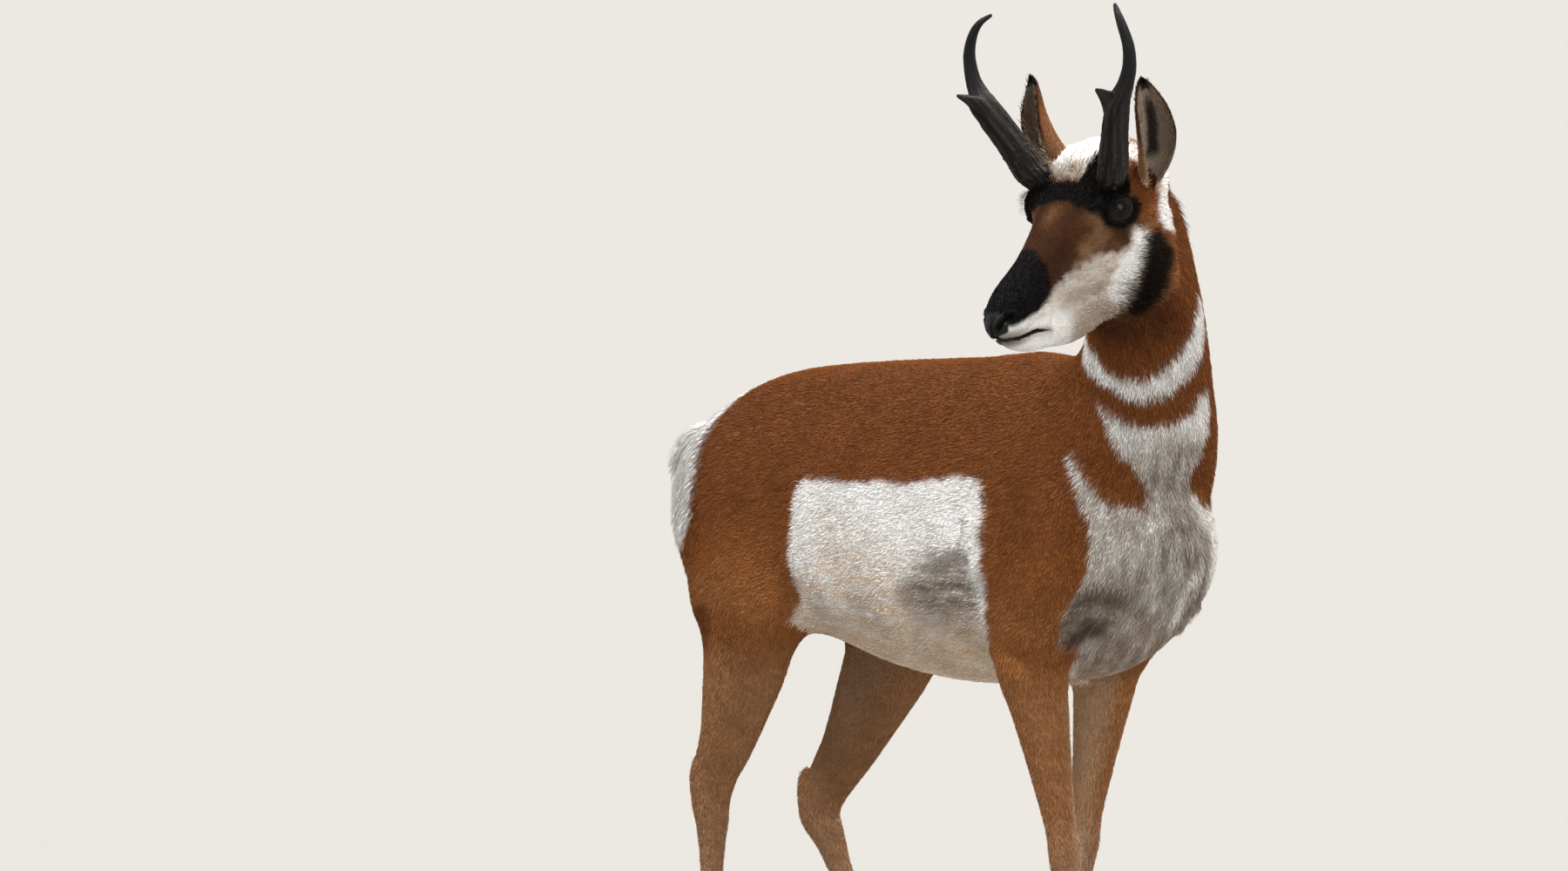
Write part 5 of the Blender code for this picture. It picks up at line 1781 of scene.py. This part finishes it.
@dataclass
class Coat:
    """The hair of the body, in pieces by region."""

    skin: Skin
    markings: Markings
    share: float = 1.0  # of the full number of tufts
    most: int = 33200  # tufts in a piece, which keeps it under 200,000 triangles
    sizes: tuple[float, float] = (0.72, 1.18)  # least and greatest size of tufts, as shares of their kind's
    stands: tuple[float, float] = (0.3, 1.0)  # the same for how far their tips stand off

    def lie(self) -> Array:
        """The way the hair lies on each point of the skin: back along the head and trunk, down the neck,
        chest, rump and legs, made to follow the surface and eased.

        Returns:
            A unit vector for each point of the skin.
        """
        surface, survey = self.skin.surface, self.skin.survey
        points = survey.points
        x, y, z = points.T
        side = np.sign(y)
        ahead, left, up = to_head(points).T
        lies = np.zeros_like(points)
        for part, limb in self.skin.anatomy.limbs.items():
            own = survey.of(part)
            nearest = ((limb.centres**2).sum(axis=1) - 2 * points[own] @ limb.centres.T).argmin(axis=1)
            along = unit(np.gradient(limb.centres, axis=0))[nearest]
            lies[own] = -along if part is Part.NECK else along
        trunk = survey.of(Part.TRUNK)
        back = np.stack([-np.ones(len(x)), 0.12 * side, -0.42 * ease(0.86, 0.66, z)], axis=1)
        chest = np.stack([-0.35 * np.ones(len(x)), 0.25 * side, -np.ones(len(x))], axis=1)
        rump = np.stack([-0.55 * np.ones(len(x)), 0.15 * side, -0.9 * np.ones(len(x))], axis=1)
        back += (chest - back) * ease(0.2, 0.33, x)[:, None]
        back += (rump - back) * ease(-0.24, -0.4, x)[:, None]
        lies[trunk] = back[trunk]
        swing = 0.35 * left / 0.06
        drop = -0.35 * ease(0.01, -0.08, up) + 0.25 * ease(0.02, 0.05, up)
        face = -AHEAD + LEFT * swing[:, None] + CROWN * drop[:, None]
        lies = np.where(survey.of(Part.HEAD)[:, None], face, lies)
        normals = surface.normals()
        lies = unit(lies)
        for _ in range(4):
            lies = unit(lies - normals * dots(lies, normals)[:, None])
            lies = surface.eased(lies, 1.0, 10)
        return unit(lies - normals * dots(lies, normals)[:, None])

    def growth(self) -> Growth:
        """How the hair grows on each point of the skin: longest at rump and nape, shortest at mouth and eyes.

        Returns:
            The hair's numbers on the skin's points.
        """
        survey = self.skin.survey
        x, y, z = survey.points.T
        table = np.tile(Hair.TRUNK.value, (len(x), 1))

        def mix(share: Array, hair: Hair) -> None:
            """Moves the table towards this kind of hair by a share at each point."""
            table[:] += (np.array(hair.value) - table) * np.clip(share, 0, 1)[:, None]

        neck = survey.of(Part.NECK)
        turn = np.degrees(survey.all_turn[Part.NECK.value])
        mix(neck * 1.0, Hair.NECK)
        mix(ease(0.24, 0.32, x) * ease(0.12, 0.08, np.abs(y)) * ~neck, Hair.CHEST)
        mix(ease(-0.315, -0.345, x) * ease(0.6, 0.68, z), Hair.RUMP)
        mix(ease(0.58, 0.46, z) * survey.legs(), Hair.LEG)
        mix(ease(0.1, 0.06, z) * survey.legs(), Hair.CORONET)
        mix(survey.of(Part.TAIL) * 1.0, Hair.TAIL)
        places = folded(to_head(survey.points))
        ahead, out, up = places.T
        head = ease(-0.006, 0.006, survey.share)
        mix(head, Hair.FACE)
        mix(head * ease(0.0, -0.09, ahead), Hair.POLL)
        mix(head * ease(-0.06, -0.11, up) * ease(0.09, 0.04, ahead), Hair.JAW)
        tuft = ease(0.02, 0.032, up) * ease(-0.006, -0.022, ahead) * ease(0.06, 0.045, out)
        mix(head * tuft, Hair.FORELOCK)
        around = np.hypot(ahead + 0.008, out - 0.056)
        mix(head * ease(0.038, 0.03, around) * ease(0.014, 0.022, up), Hair.HORN_BASE)
        mix(head * ease(0.08, 0.12, ahead), Hair.MUZZLE)
        reach, rim, _ = OPENING.measure(places)
        eyes = head * ease(0.045, 0.036, reach)
        mix(eyes * ease(0.012, 0.005, rim), Hair.LIDS)
        bare = self.skin.bareness()
        table[:, 0] *= np.where(bare > 0.2, 0, 1) * (z > 0.042)
        table[:, 0] *= np.where((rim < 0.0014) & (reach < 0.04) & (head > 0.5), 0, 1)
        mane = neck * ease(138, 165, np.abs(turn)) * ease(0.1, 0.16, survey.all_along[Part.NECK.value])
        mix(mane, Hair.MANE)
        table[:, 0] *= self.share
        return Growth(*table.T)

    def regions(self, survey: Survey) -> dict[str, Array]:
        """The pieces, each a name and the roots that belong to it.

        Args:
            survey: the roots.

        Returns:
            Which roots belong to each piece, by its name.
        """
        x, y, _ = survey.points.T
        rump = survey.of(Part.TRUNK) & (x < RUMP_FRONT)
        trunk = survey.of(Part.TRUNK) & ~rump
        # How far left each root is, by the trunk, the head and the neck.
        lefts = (y, to_head(survey.points)[:, 1], survey.all_turn[Part.NECK.value])
        found = {"coat_rump_and_tail": rump | survey.of(Part.TAIL)}
        for side in Side:
            on_trunk, on_head, on_neck = ((left >= 0) == (side is Side.LEFT) for left in lefts)
            found["coat_shoulder_" + side.word] = trunk & (x > 0) & on_trunk
            found["coat_flank_" + side.word] = trunk & (x <= 0) & on_trunk
            for leg in ("foreleg_", "hindleg_"):
                found["coat_" + leg + side.word] = survey.of(Part[(leg + side.word).upper()])
            found["coat_head_" + side.word] = survey.of(Part.HEAD) & on_head
            found["coat_neck_" + side.word] = survey.of(Part.NECK) & on_neck
        return found

    def build(self, bench: Bench) -> None:
        """Grows the hair and makes a piece for each region.

        Args:
            bench: makes the objects.
        """
        random = np.random.default_rng(SEED)
        columns = np.zeros((len(self.skin.surface.points), 1))
        sown = Tufts.sown(self.skin.surface, self.growth(), self.lie(), columns, random)
        roots, normals, lies, numbers, _ = sown
        _, length, width, lift, stray = numbers.T
        count = len(roots)
        survey = self.skin.anatomy.survey(roots)
        swirl = 0.3 * ripple(roots, 0.045, 11) + 0.25 * ripple(roots, 0.016, 12)
        angle = stray * (random.normal(size=count) + swirl)
        lies = swung(lies, normals, angle)
        size = random.uniform(*self.sizes, count)
        stand = lift * random.uniform(*self.stands, count) * (1 + 0.22 * ripple(roots, 0.02, 13))
        bend = random.normal(size=count) * 0.09
        colours = self.markings.colours(survey)
        jitter = np.exp(random.normal(size=count) * 0.11 + 0.05 * ripple(roots, 0.009, 14))
        colours = colours * jitter[:, None]
        for name, own in self.regions(survey).items():
            count = int(own.sum())
            if count > self.most:
                LOG.warning("%s has %d tufts; %d are kept", name, count, self.most)
                own[np.flatnonzero(own)[random.permutation(count)[: count - self.most]]] = False
            places = spread_out(survey.label[own], survey.along[own], survey.turn[own])
            rows = (roots, normals, lies, length * size, width * size, stand, bend, colours)
            tufts = Tufts(*(row[own] for row in rows), places)
            finish = PALE_HAIR if "rump" in name else HAIR
            bench.piece(name, tufts.solids(), finish, tufts.shades(), maps={HAIR_MAP: tufts.bake_map()})


# ---------------------------- ears
@dataclass
class Ear:
    """A leaf of hide rolled round the line from root to tip, haired inside and out."""

    side: Side
    root: tuple[float, float, float] = (-0.08, 0.043, -0.01)
    tip: tuple[float, float, float] = (-0.0755, 0.085, 0.137)
    bow: tuple[float, float] = (0.012, 0.028)  # how far the middle line bends ahead and outward
    shell: float = 0.0034
    columns: int = 36
    # Share of the length, half width of the flattened sheet, half curl in degrees.
    rows: tuple = (
        (0.00, 0.032, 150),
        (0.12, 0.035, 140),
        (0.3, 0.039, 118),
        (0.5, 0.038, 96),
        (0.7, 0.029, 78),
        (0.86, 0.0165, 62),
        (0.95, 0.008, 52),
        (1.0, 0.002, 45),
    )

    def surface(self) -> tuple[Surface, Array, Array]:
        """A closed shell: at each share of the length an arc of radius half width / curl, out one face and
        back the other, thinning to its rims.

        Returns:
            The surface; share along, share of the curl from -1 to 1 and 1 inside or 0 outside, for each
            point; and the direction towards the tip for each point.
        """
        sign = self.side.value
        start, end = (to_space([ahead, sign * out, up]) for ahead, out, up in (self.root, self.tip))
        line = unit(end - start)
        forward, outward = EAR_OPENS[sign]
        opening = AHEAD * forward + LEFT * (sign * outward)
        opening = unit(opening - line * (opening @ line))
        across = np.cross(line, opening)
        share, half, curl = smooth_rows(self.rows, 7).T
        curl = np.radians(curl)
        radius = half / curl
        bend = AHEAD * self.bow[0] + LEFT * (sign * self.bow[1])
        centre = start + (end - start) * share[:, None] + bend * np.sin(math.pi * share)[:, None]
        across_share = np.linspace(-1, 1, self.columns + 1)
        around = np.concatenate([across_share, across_share[::-1]])
        inside = np.repeat([0.0, 1.0], self.columns + 1)
        wall = self.shell * (0.22 + 0.78 * (1 - around**4)) * 0.5 * np.where(inside > 0, -1, 1)
        wave = 0.0009 * np.sin(around * 9) * np.sin(math.pi * np.clip(share, 0, 1))[:, None] * inside
        reach = radius[:, None] + wall[None, :] * np.minimum(1, radius / 0.012)[:, None] + wave
        angle = around[None, :] * curl[:, None]
        flat = across * np.sin(angle)[..., None] - opening * np.cos(angle)[..., None]
        rings = centre[:, None, :] + flat * reach[..., None]
        surface = Surface.tube(rings)
        grid = np.broadcast_arrays(share[:, None], around[None, :], inside[None, :])
        marks = np.stack([part.ravel() for part in grid], axis=1)
        marks = np.vstack([marks, [[0, 0, 0], [1, 0, 0]]])
        toward = unit(np.gradient(centre, axis=0))
        toward = np.vstack([np.repeat(toward, len(around), axis=0), toward[:1], toward[-1:]])
        fringe = across[None] * np.sign(marks[:, 1:2]) * -0.25 * marks[:, 2:3]
        return surface, marks, unit(toward + fringe)

    def colours(self, points: Array, marks: Array) -> Array:
        """Tan behind, grey-white within round a dark streak, black at the tip and down the rims.

        Args:
            points: places in space.
            marks: share along, share of the curl and 1 inside, for each.

        Returns:
            Linear red, green and blue for each point.
        """
        share, around, inside = marks.T
        ragged = 0.03 * ripple(points, 0.01, 31)
        edge = np.abs(around)
        paint = Paint(len(points), Tone.TAN)
        paint.lay(Tone.ORANGE, 0.6 * ease(0.15, 0.5, share))
        paint.lay(Tone.CREAM, 0.8 * ease(0.2, 0.05, share))
        paint.lay(Tone.DARK_RUST, 0.7 * ease(0.55, 0.8, share + ragged))
        within = ease(0.4, 0.6, inside)
        paint.lay(Tone.SMOKE, within)
        paint.lay(Tone.CREAM, 0.7 * within * ease(0.35, 0.1, share))
        paint.lay(Tone.GREY, 0.55 * within * ease(0.2, 0.6, share))
        paint.lay(Tone.TAN, 0.3 * within)
        outer = ease(0.05, 0.45, edge) * (around * self.side.value > 0)
        paint.lay(Tone.DUSK, 0.55 * within * outer * ease(0.15, 0.4, share))
        streak = ease(0.36, 0.12, np.abs(around - 0.02) + ragged)
        streak = streak * ease(0.16, 0.32, share) * ease(0.9, 0.68, share)
        paint.lay(Tone.BLACK, 0.95 * within * streak)
        rim = ease(0.86, 0.95, edge + 0.4 * ragged) * ease(0.32, 0.55, share)
        paint.lay(Tone.UMBER, rim)
        paint.lay(Tone.BLACK, ease(0.84, 0.91, share + ragged))
        return paint.colour

    def growth(self, marks: Array, share_of: float) -> Growth:
        """Short close hair behind, longer hair within, longest near the rims and the root.

        Args:
            marks: share along, share of the curl and 1 inside, for each point.
            share_of: share of the full number of tufts.

        Returns:
            The hair's numbers.
        """
        share, around, inside = marks.T
        edge = np.abs(around)
        long = 0.0058 + 0.0048 * inside * ease(0.35, 0.8, edge) + 0.005 * ease(0.2, 0.0, share)
        long *= 1 - 0.35 * ease(0.75, 1.0, share)
        lift = 0.001 + 0.002 * inside * ease(0.3, 0.8, edge)
        density = (210000 + 60000 * inside) * share_of
        return Growth(density, long, 0.001 + 0 * share, lift, 0.14 + 0.1 * inside)

    def build(self, bench: Bench, share_of: float) -> None:
        """Makes the shell and its hair.

        Args:
            bench: makes the objects.
            share_of: share of the full number of tufts.
        """
        surface, marks, toward = self.surface()
        colours = self.colours(surface.points, marks) * UNDERCOAT
        grain = marks[surface.corners()][:, :2] * [0.14, 0.03]
        name = "ear_" + self.side.word
        bench.piece(name, surface, EAR_HIDE, colours, [name], {GRAIN_MAP: grain[:, ::-1]})
        random = np.random.default_rng(SEED + 5 + self.side.value)
        growth = self.growth(marks, share_of)
        roots, normals, lies, numbers, marks = Tufts.sown(surface, growth, toward, marks, random)
        _, length, width, lift, stray = numbers.T
        count = len(roots)
        angle = stray * random.normal(size=count)
        lies = swung(lies, normals, angle)
        size = random.uniform(0.7, 1.2, count)
        shades = self.colours(roots, marks) * np.exp(random.normal(size=count) * 0.12)[:, None]
        places = np.clip(np.stack([marks[:, 2] * 0.5 + (marks[:, 1] + 1) * 0.245, marks[:, 0]], axis=1), 0, 1)
        stand = lift * random.uniform(0.3, 1, count)
        bend = random.normal(size=count) * 0.1
        tufts = Tufts(roots, normals, lies, length * size, width * size, stand, bend, shades, places)
        maps = {HAIR_MAP: tufts.bake_map()}
        bench.piece("coat_" + name, tufts.solids(), EAR_HAIR, tufts.shades(), maps=maps)


# ---------------------------- horns
@dataclass
class Horn:
    """One horn: a flat blade with its prong ahead, ridged like bark below and smooth to the hooked tip."""

    side: Side
    voxel: float = 0.0013

    def shaft(self, rows: Array) -> Limb:
        """A blade or prong through these rows.

        Args:
            rows: HORN or PRONG.

        Returns:
            The limb.
        """
        rise = HORN_RISE[self.side.value]
        placed = to_space(rows[:, :3] * [1, self.side.value, rise])
        return Limb.along(smooth_rows(np.hstack([placed, rows[:, 3:]]), 8), AHEAD)

    def build(self, bench: Bench) -> None:
        """Joins blade and prong, cuts the ridges and makes the object.

        Args:
            bench: makes the object.
        """
        blade = self.shaft(HORN)
        solids = [Surface.tube(limb.rings(32)) for limb in (blade, self.shaft(PRONG))]
        surface = merged(Surface.joined(solids), self.voxel)
        surface.points = surface.eased(surface.points, 1.0, 2)
        along, turn, _ = blade.place(surface.points)
        share = along / along.max()
        rough = ease(0.78, 0.48, share)
        ring = np.stack([0.024 * np.cos(turn), 0.024 * np.sin(turn), 0.1 * along], axis=1)
        ridges = ripple(ring, 0.0075, 41)
        flakes = ripple(ring * [1, 1, 3.2], 0.0042, 42)
        knobs = np.clip(ripple(surface.points, 0.0085, 43), 0, 2) ** 2
        rise = (0.2 + 0.8 * rough) * (0.00085 * ridges + 0.00035 * flakes)
        rise += 0.0011 * knobs * ease(0.42, 0.1, share)
        rise -= 0.003 * ease(0.14, 0.05, share)
        surface.points = surface.points + surface.normals() * rise[:, None]
        rooted = ease(0.17, 0.03, share)[:, None]
        surface.points = surface.points - rooted * (0.007 * self.side.value * LEFT + 0.003 * AHEAD)
        high = ease(-0.0006, 0.0014, rise)
        paint = Paint(len(rise), Tone.BLACK)
        paint.shade(np.full(len(rise), 1.6))
        bark = np.array((0.036, 0.028, 0.023))
        paint.colour += (bark - paint.colour) * (0.75 * high * rough * ease(-0.02, 0.1, share))[:, None]
        # A painted bluish sheen over the smooth upper half of the horn.
        painted_sheen = np.array((0.014, 0.015, 0.017))
        paint.colour += (painted_sheen - paint.colour) * (0.5 * ease(0.45, 0.8, share))[:, None]
        grain = np.stack([turn * 0.02, along], axis=1)[surface.corners()]
        name = "horn_" + self.side.word
        bench.piece(name, surface, HORN_SHEATH, paint.colour, [name], {GRAIN_MAP: grain})


# ---------------------------- hooves
@dataclass
class Hoof:
    """A cloven hoof: two pointed claws whose tops slope down to the rear."""

    leg: str
    sides: int = 48
    slope: float = math.radians(17)
    toe_out: float = math.radians(6)
    width_share: float = 0.37
    levels: tuple[float, ...] = (0.0, 0.012, 0.04, 0.1, 0.2, 0.3, 0.4, 0.5, 0.6, 0.7, 0.8, 0.9, 0.97, 1.0)

    @property
    def length(self) -> float:
        """Length of the sole."""
        return 0.074 if self.leg.startswith("fore") else 0.067

    def claw(self, inner: bool) -> Surface:
        """Rings from the sole to the coronet: an oval narrowed to the toe, shrinking and moving back as it
        rises, its height at each point a share of the way up to the sloping coronet.

        Args:
            inner: whether it is the claw nearer the body's middle.

        Returns:
            The closed surface.
        """
        middle = LEGS[self.leg][-1]
        sign = 1 if self.leg.endswith("left") else -1
        toe = np.array([math.cos(self.toe_out), sign * math.sin(self.toe_out), 0])
        side = np.array([-toe[1], toe[0], 0]) * sign * (-1 if inner else 1)
        width = self.length * self.width_share
        turn = np.arange(self.sides) * 2 * math.pi / self.sides
        ahead = np.cos(turn)
        narrowed = 1 - 0.5 * np.clip(ahead, 0, 1) ** 1.6
        outward = np.sin(turn) * np.where(np.sin(turn) > 0, 0.5, 0.42) * narrowed
        share = np.array(self.levels)[:, None]
        rounded = 1 - 0.06 * ease(0.04, 0.0, share) - 0.1 * ease(0.9, 1.0, share)
        rounded = rounded * (1 + 0.01 * np.sin(share * 2 * math.pi * 7) * ease(0.05, 0.15, share))
        reach = self.length * (0.5 - 0.225 * share) * rounded
        spread = width * (1.0 - 0.12 * share) * rounded
        forward = self.length * 0.2 * (1 - share) - 0.0015 + reach * ahead[None]
        sideways = width * 0.46 + spread * outward[None]
        flat = middle * [1, 1, 0] + forward[..., None] * toe + sideways[..., None] * side
        top = CORONET_HEIGHT + forward * math.tan(self.slope)
        flat[..., 2] = top * share
        return Surface.tube(flat)

    def build(self, bench: Bench) -> None:
        """Makes both claws.

        Args:
            bench: makes the objects.
        """
        for word, inner in (("outer", False), ("inner", True)):
            surface = self.claw(inner)
            height = surface.points[:, 2]
            tone = 1 + 0.25 * ripple(surface.points * [1, 1, 3], 0.02, 51)
            paint = Paint(len(height), Tone.BLACK)
            paint.colour = np.array([(0.024, 0.018, 0.014)]) * tone[:, None]
            paint.lay(Tone.GREY, 0.22 * ease(0.012, 0.0, height))
            name = self.leg.replace("leg", "_hoof") + "_" + word
            grain = (surface.points @ np.array([[0.7, 0], [0.7, 0], [0, 1]]))[surface.corners()]
            bench.piece(name, surface, HOOF_HORN, paint.colour, [name], {GRAIN_MAP: grain})


# ---------------------------- eyes
@dataclass
class Eye:
    """An eyeball with its clear bulge, a dark iris and a long level pupil, and lashes on the upper lid."""

    side: Side
    iris: float = 0.0122
    pupil: tuple[float, float] = (0.0088, 0.0062)
    lashes: int = 46

    def build(self, bench: Bench) -> None:
        """Makes the ball and the lashes.

        Args:
            bench: makes the objects.
        """
        sign = self.side.value
        axes = OPENING.axes() * [1, sign, 1]
        ball = Surface.ball([0, sign * EYE_SPACING, 0], axes, [EYE_RADIUS] * 3, 96)
        offset = ball.points - [0, sign * EYE_SPACING, 0]
        seen = unit(offset) @ axes.T
        away = np.arccos(np.clip(seen[:, 0], -1, 1)) * EYE_RADIUS
        ball.points = ball.points + unit(offset) * (0.0009 * ease(self.iris, 0.003, away))[:, None]
        paint = Paint(len(away), Tone.UMBER)
        paint.lay(Tone.BLACK, 0.9 * ease(0.0185, self.iris, away))
        colours = paint.colour
        rays = 0.5 + 0.5 * np.sin(np.arctan2(seen[:, 2], seen[:, 1]) * 30) * ripple(seen, 0.4, 61)
        brown = np.array((0.006, 0.003, 0.0018)) * (0.7 + 0.5 * rays)[:, None]
        colours += (brown - colours) * ease(self.iris, self.iris - 0.0008, away)[:, None]
        gap = np.hypot(seen[:, 1] * EYE_RADIUS / self.pupil[0], seen[:, 2] * EYE_RADIUS / self.pupil[1])
        colours += (np.array((0.0018, 0.0018, 0.0024)) - colours) * ease(1.12, 0.88, gap)[:, None]
        placed = Surface(to_space(ball.points), ball.quads, ball.tris)
        name = "eye_" + self.side.word
        bench.piece(name, placed.outward(), EYEBALL, colours, [name])
        self.lash(bench, axes)

    def lash(self, bench: Bench, axes: Array) -> None:
        """Fine curved hairs along the upper rim of the opening, fanned out and a little down.

        Args:
            bench: makes the object.
            axes: the opening's directions, on this side.
        """
        random = np.random.default_rng(SEED + 9 + self.side.value)
        at = np.linspace(-0.8, 0.92, self.lashes) + random.normal(size=self.lashes) * 0.01
        along = at * OPENING.half_length
        up, centre = OPENING.arch(OPENING.upper)
        above = np.sqrt(up**2 - along**2) - centre + random.uniform(0.0004, 0.0016, self.lashes)
        level, rise = along / EYE_RADIUS, above / EYE_RADIUS
        seen = np.stack([np.cos(rise) * np.cos(level), np.cos(rise) * np.sin(level), np.sin(rise)], axis=1)
        outward = seen @ axes
        roots = np.array([0, self.side.value * EYE_SPACING, 0]) + outward * (EYE_RADIUS + 0.0018)
        fan = outward + axes[2] * -0.3 + axes[1] * (0.55 * at)[:, None]
        lies = unit(fan + random.normal(size=(self.lashes, 3)) * 0.05)
        normals = unit(axes[2] - lies * (lies @ axes[2])[:, None])
        long = random.uniform(0.0075, 0.0115, self.lashes)
        colours = np.tile(np.array(Tone.BLACK.value), (self.lashes, 1))
        places = np.stack([0.5 + 0.4 * at, random.uniform(0.3, 0.7, self.lashes)], axis=1)
        space = (to_space(roots), normals @ HEAD_AXES, lies @ HEAD_AXES)
        wide = np.full(self.lashes, 0.0006)
        tufts = Tufts(*space, long, wide, 0.22 * long, 0 * long, colours, places)
        maps = {HAIR_MAP: tufts.bake_map()}
        bench.piece("lashes_" + self.side.word, tufts.solids(), LASH, tufts.shades(), maps=maps)


# ---------------------------- the studio
@dataclass
class Studio:
    """A pale floor, soft lights and the camera."""

    shift: Array
    azimuth: float = math.radians(50)
    elevation: float = math.radians(3)
    distance: float = 18.0
    scale: float = 937.0  # pixels for each metre at the body, in a frame 1800 wide
    origin: tuple[float, float] = (1090.0, 1239.0)  # the pixel that the body frame's origin falls on
    frame: tuple[int, int] = (1800, 1000)  # pixels
    sensor: float = 36.0  # millimetres
    floor_half: float = 500.0  # half the floor's side
    floor_tone: tuple[float, ...] = (0.27, 0.262, 0.248, 1)
    sky_tone: tuple[float, ...] = (0.86, 0.9, 0.96, 1)
    sky_strength: float = 0.62
    # Name, direction towards it, strength, degrees across, colour.
    lamps: tuple = (
        ("key", (-0.25, -0.42, 0.95), 4.5, 16, (1.0, 0.985, 0.97)),
        ("fill", (0.9, -0.1, 0.35), 1.7, 45, (1.0, 0.97, 0.93)),
        ("rim", (0.1, 0.65, 0.8), 3.6, 20, (1.0, 0.95, 0.88)),
    )

    def floor(self) -> None:
        """The floor at the soles' height."""
        mesh = bpy.data.meshes.new("floor")
        size = self.floor_half
        corners = [(-size, -size, 0), (size, -size, 0), (size, size, 0), (-size, size, 0)]
        mesh.from_pydata(corners, [], [(0, 1, 2, 3)])
        floor = bpy.data.objects.new("floor", mesh)
        bpy.context.scene.collection.objects.link(floor)
        material = bpy.data.materials.new("Pale floor")
        material.use_nodes = True
        shader = material.node_tree.nodes["Principled BSDF"]
        shader.inputs["Base Color"].default_value = self.floor_tone
        shader.inputs["Roughness"].default_value = 0.9
        mesh.materials.append(material)

    def sun(
        self, name: str, towards: Sequence[float], power: float, soft: float, colour: Sequence[float]
    ) -> None:
        """A soft lamp far off in this direction, as many degrees wide as soft says.

        Args:
            name: its name.
            towards: direction from the body to it.
            power: its strength.
            soft: degrees across.
            colour: red, green and blue.
        """
        lamp = bpy.data.lights.new(name, "SUN")
        lamp.energy, lamp.angle, lamp.color = power, math.radians(soft), colour
        obj = bpy.data.objects.new(name, lamp)
        obj.rotation_mode = "QUATERNION"
        obj.rotation_quaternion = Vector(towards).to_track_quat("Z", "Y")
        bpy.context.scene.collection.objects.link(obj)

    def camera(self) -> None:
        """The camera: level with the body, its middle line on the frame's own middle."""
        turn, lift = self.azimuth, self.elevation
        right = Vector((math.cos(turn), math.sin(turn), 0))
        back = Vector((math.sin(turn) * math.cos(lift), -math.cos(turn) * math.cos(lift), math.sin(lift)))
        up = back.cross(right)
        wide, high = self.frame
        aside, above = wide / 2 - self.origin[0], self.origin[1] - high / 2
        aim = right * (aside / self.scale) + up * (above / self.scale)
        camera = bpy.data.cameras.new("camera")
        camera.sensor_width = self.sensor
        camera.lens = self.scale * self.sensor * self.distance / wide
        camera.clip_end = 100
        obj = bpy.data.objects.new("camera", camera)
        obj.location = aim + Vector(self.shift) + back * self.distance
        obj.rotation_mode = "QUATERNION"
        obj.rotation_quaternion = (-back).to_track_quat("-Z", "Y")
        bpy.context.scene.collection.objects.link(obj)
        bpy.context.scene.camera = obj

    def build(self) -> None:
        """Sets everything up."""
        self.floor()
        for lamp in self.lamps:
            self.sun(*lamp)
        world = bpy.data.worlds.new("studio")
        world.use_nodes = True
        sky = world.node_tree.nodes["Background"]
        sky.inputs[0].default_value = self.sky_tone
        sky.inputs[1].default_value = self.sky_strength
        bpy.context.scene.world = world
        bpy.context.scene.view_settings.view_transform = "Standard"
        self.camera()


def main() -> None:
    """Builds the pronghorn and its studio."""
    logging.basicConfig(level=logging.INFO, format="%(message)s")
    bench = Bench()
    share = 1.0
    anatomy = Anatomy()
    markings = Markings()
    skin = Skin(anatomy)
    skin.build()
    skin.dress(bench, markings)
    Coat(skin, markings, share).build(bench)
    for side in Side:
        Ear(side).build(bench, share)
        Horn(side).build(bench)
        Eye(side).build(bench)
    for leg in LEGS:
        Hoof(leg).build(bench)
    Studio(bench.shift).build()
    LOG.info("in all: %d triangles", bench.triangles)


if __name__ == "__main__":
    main()
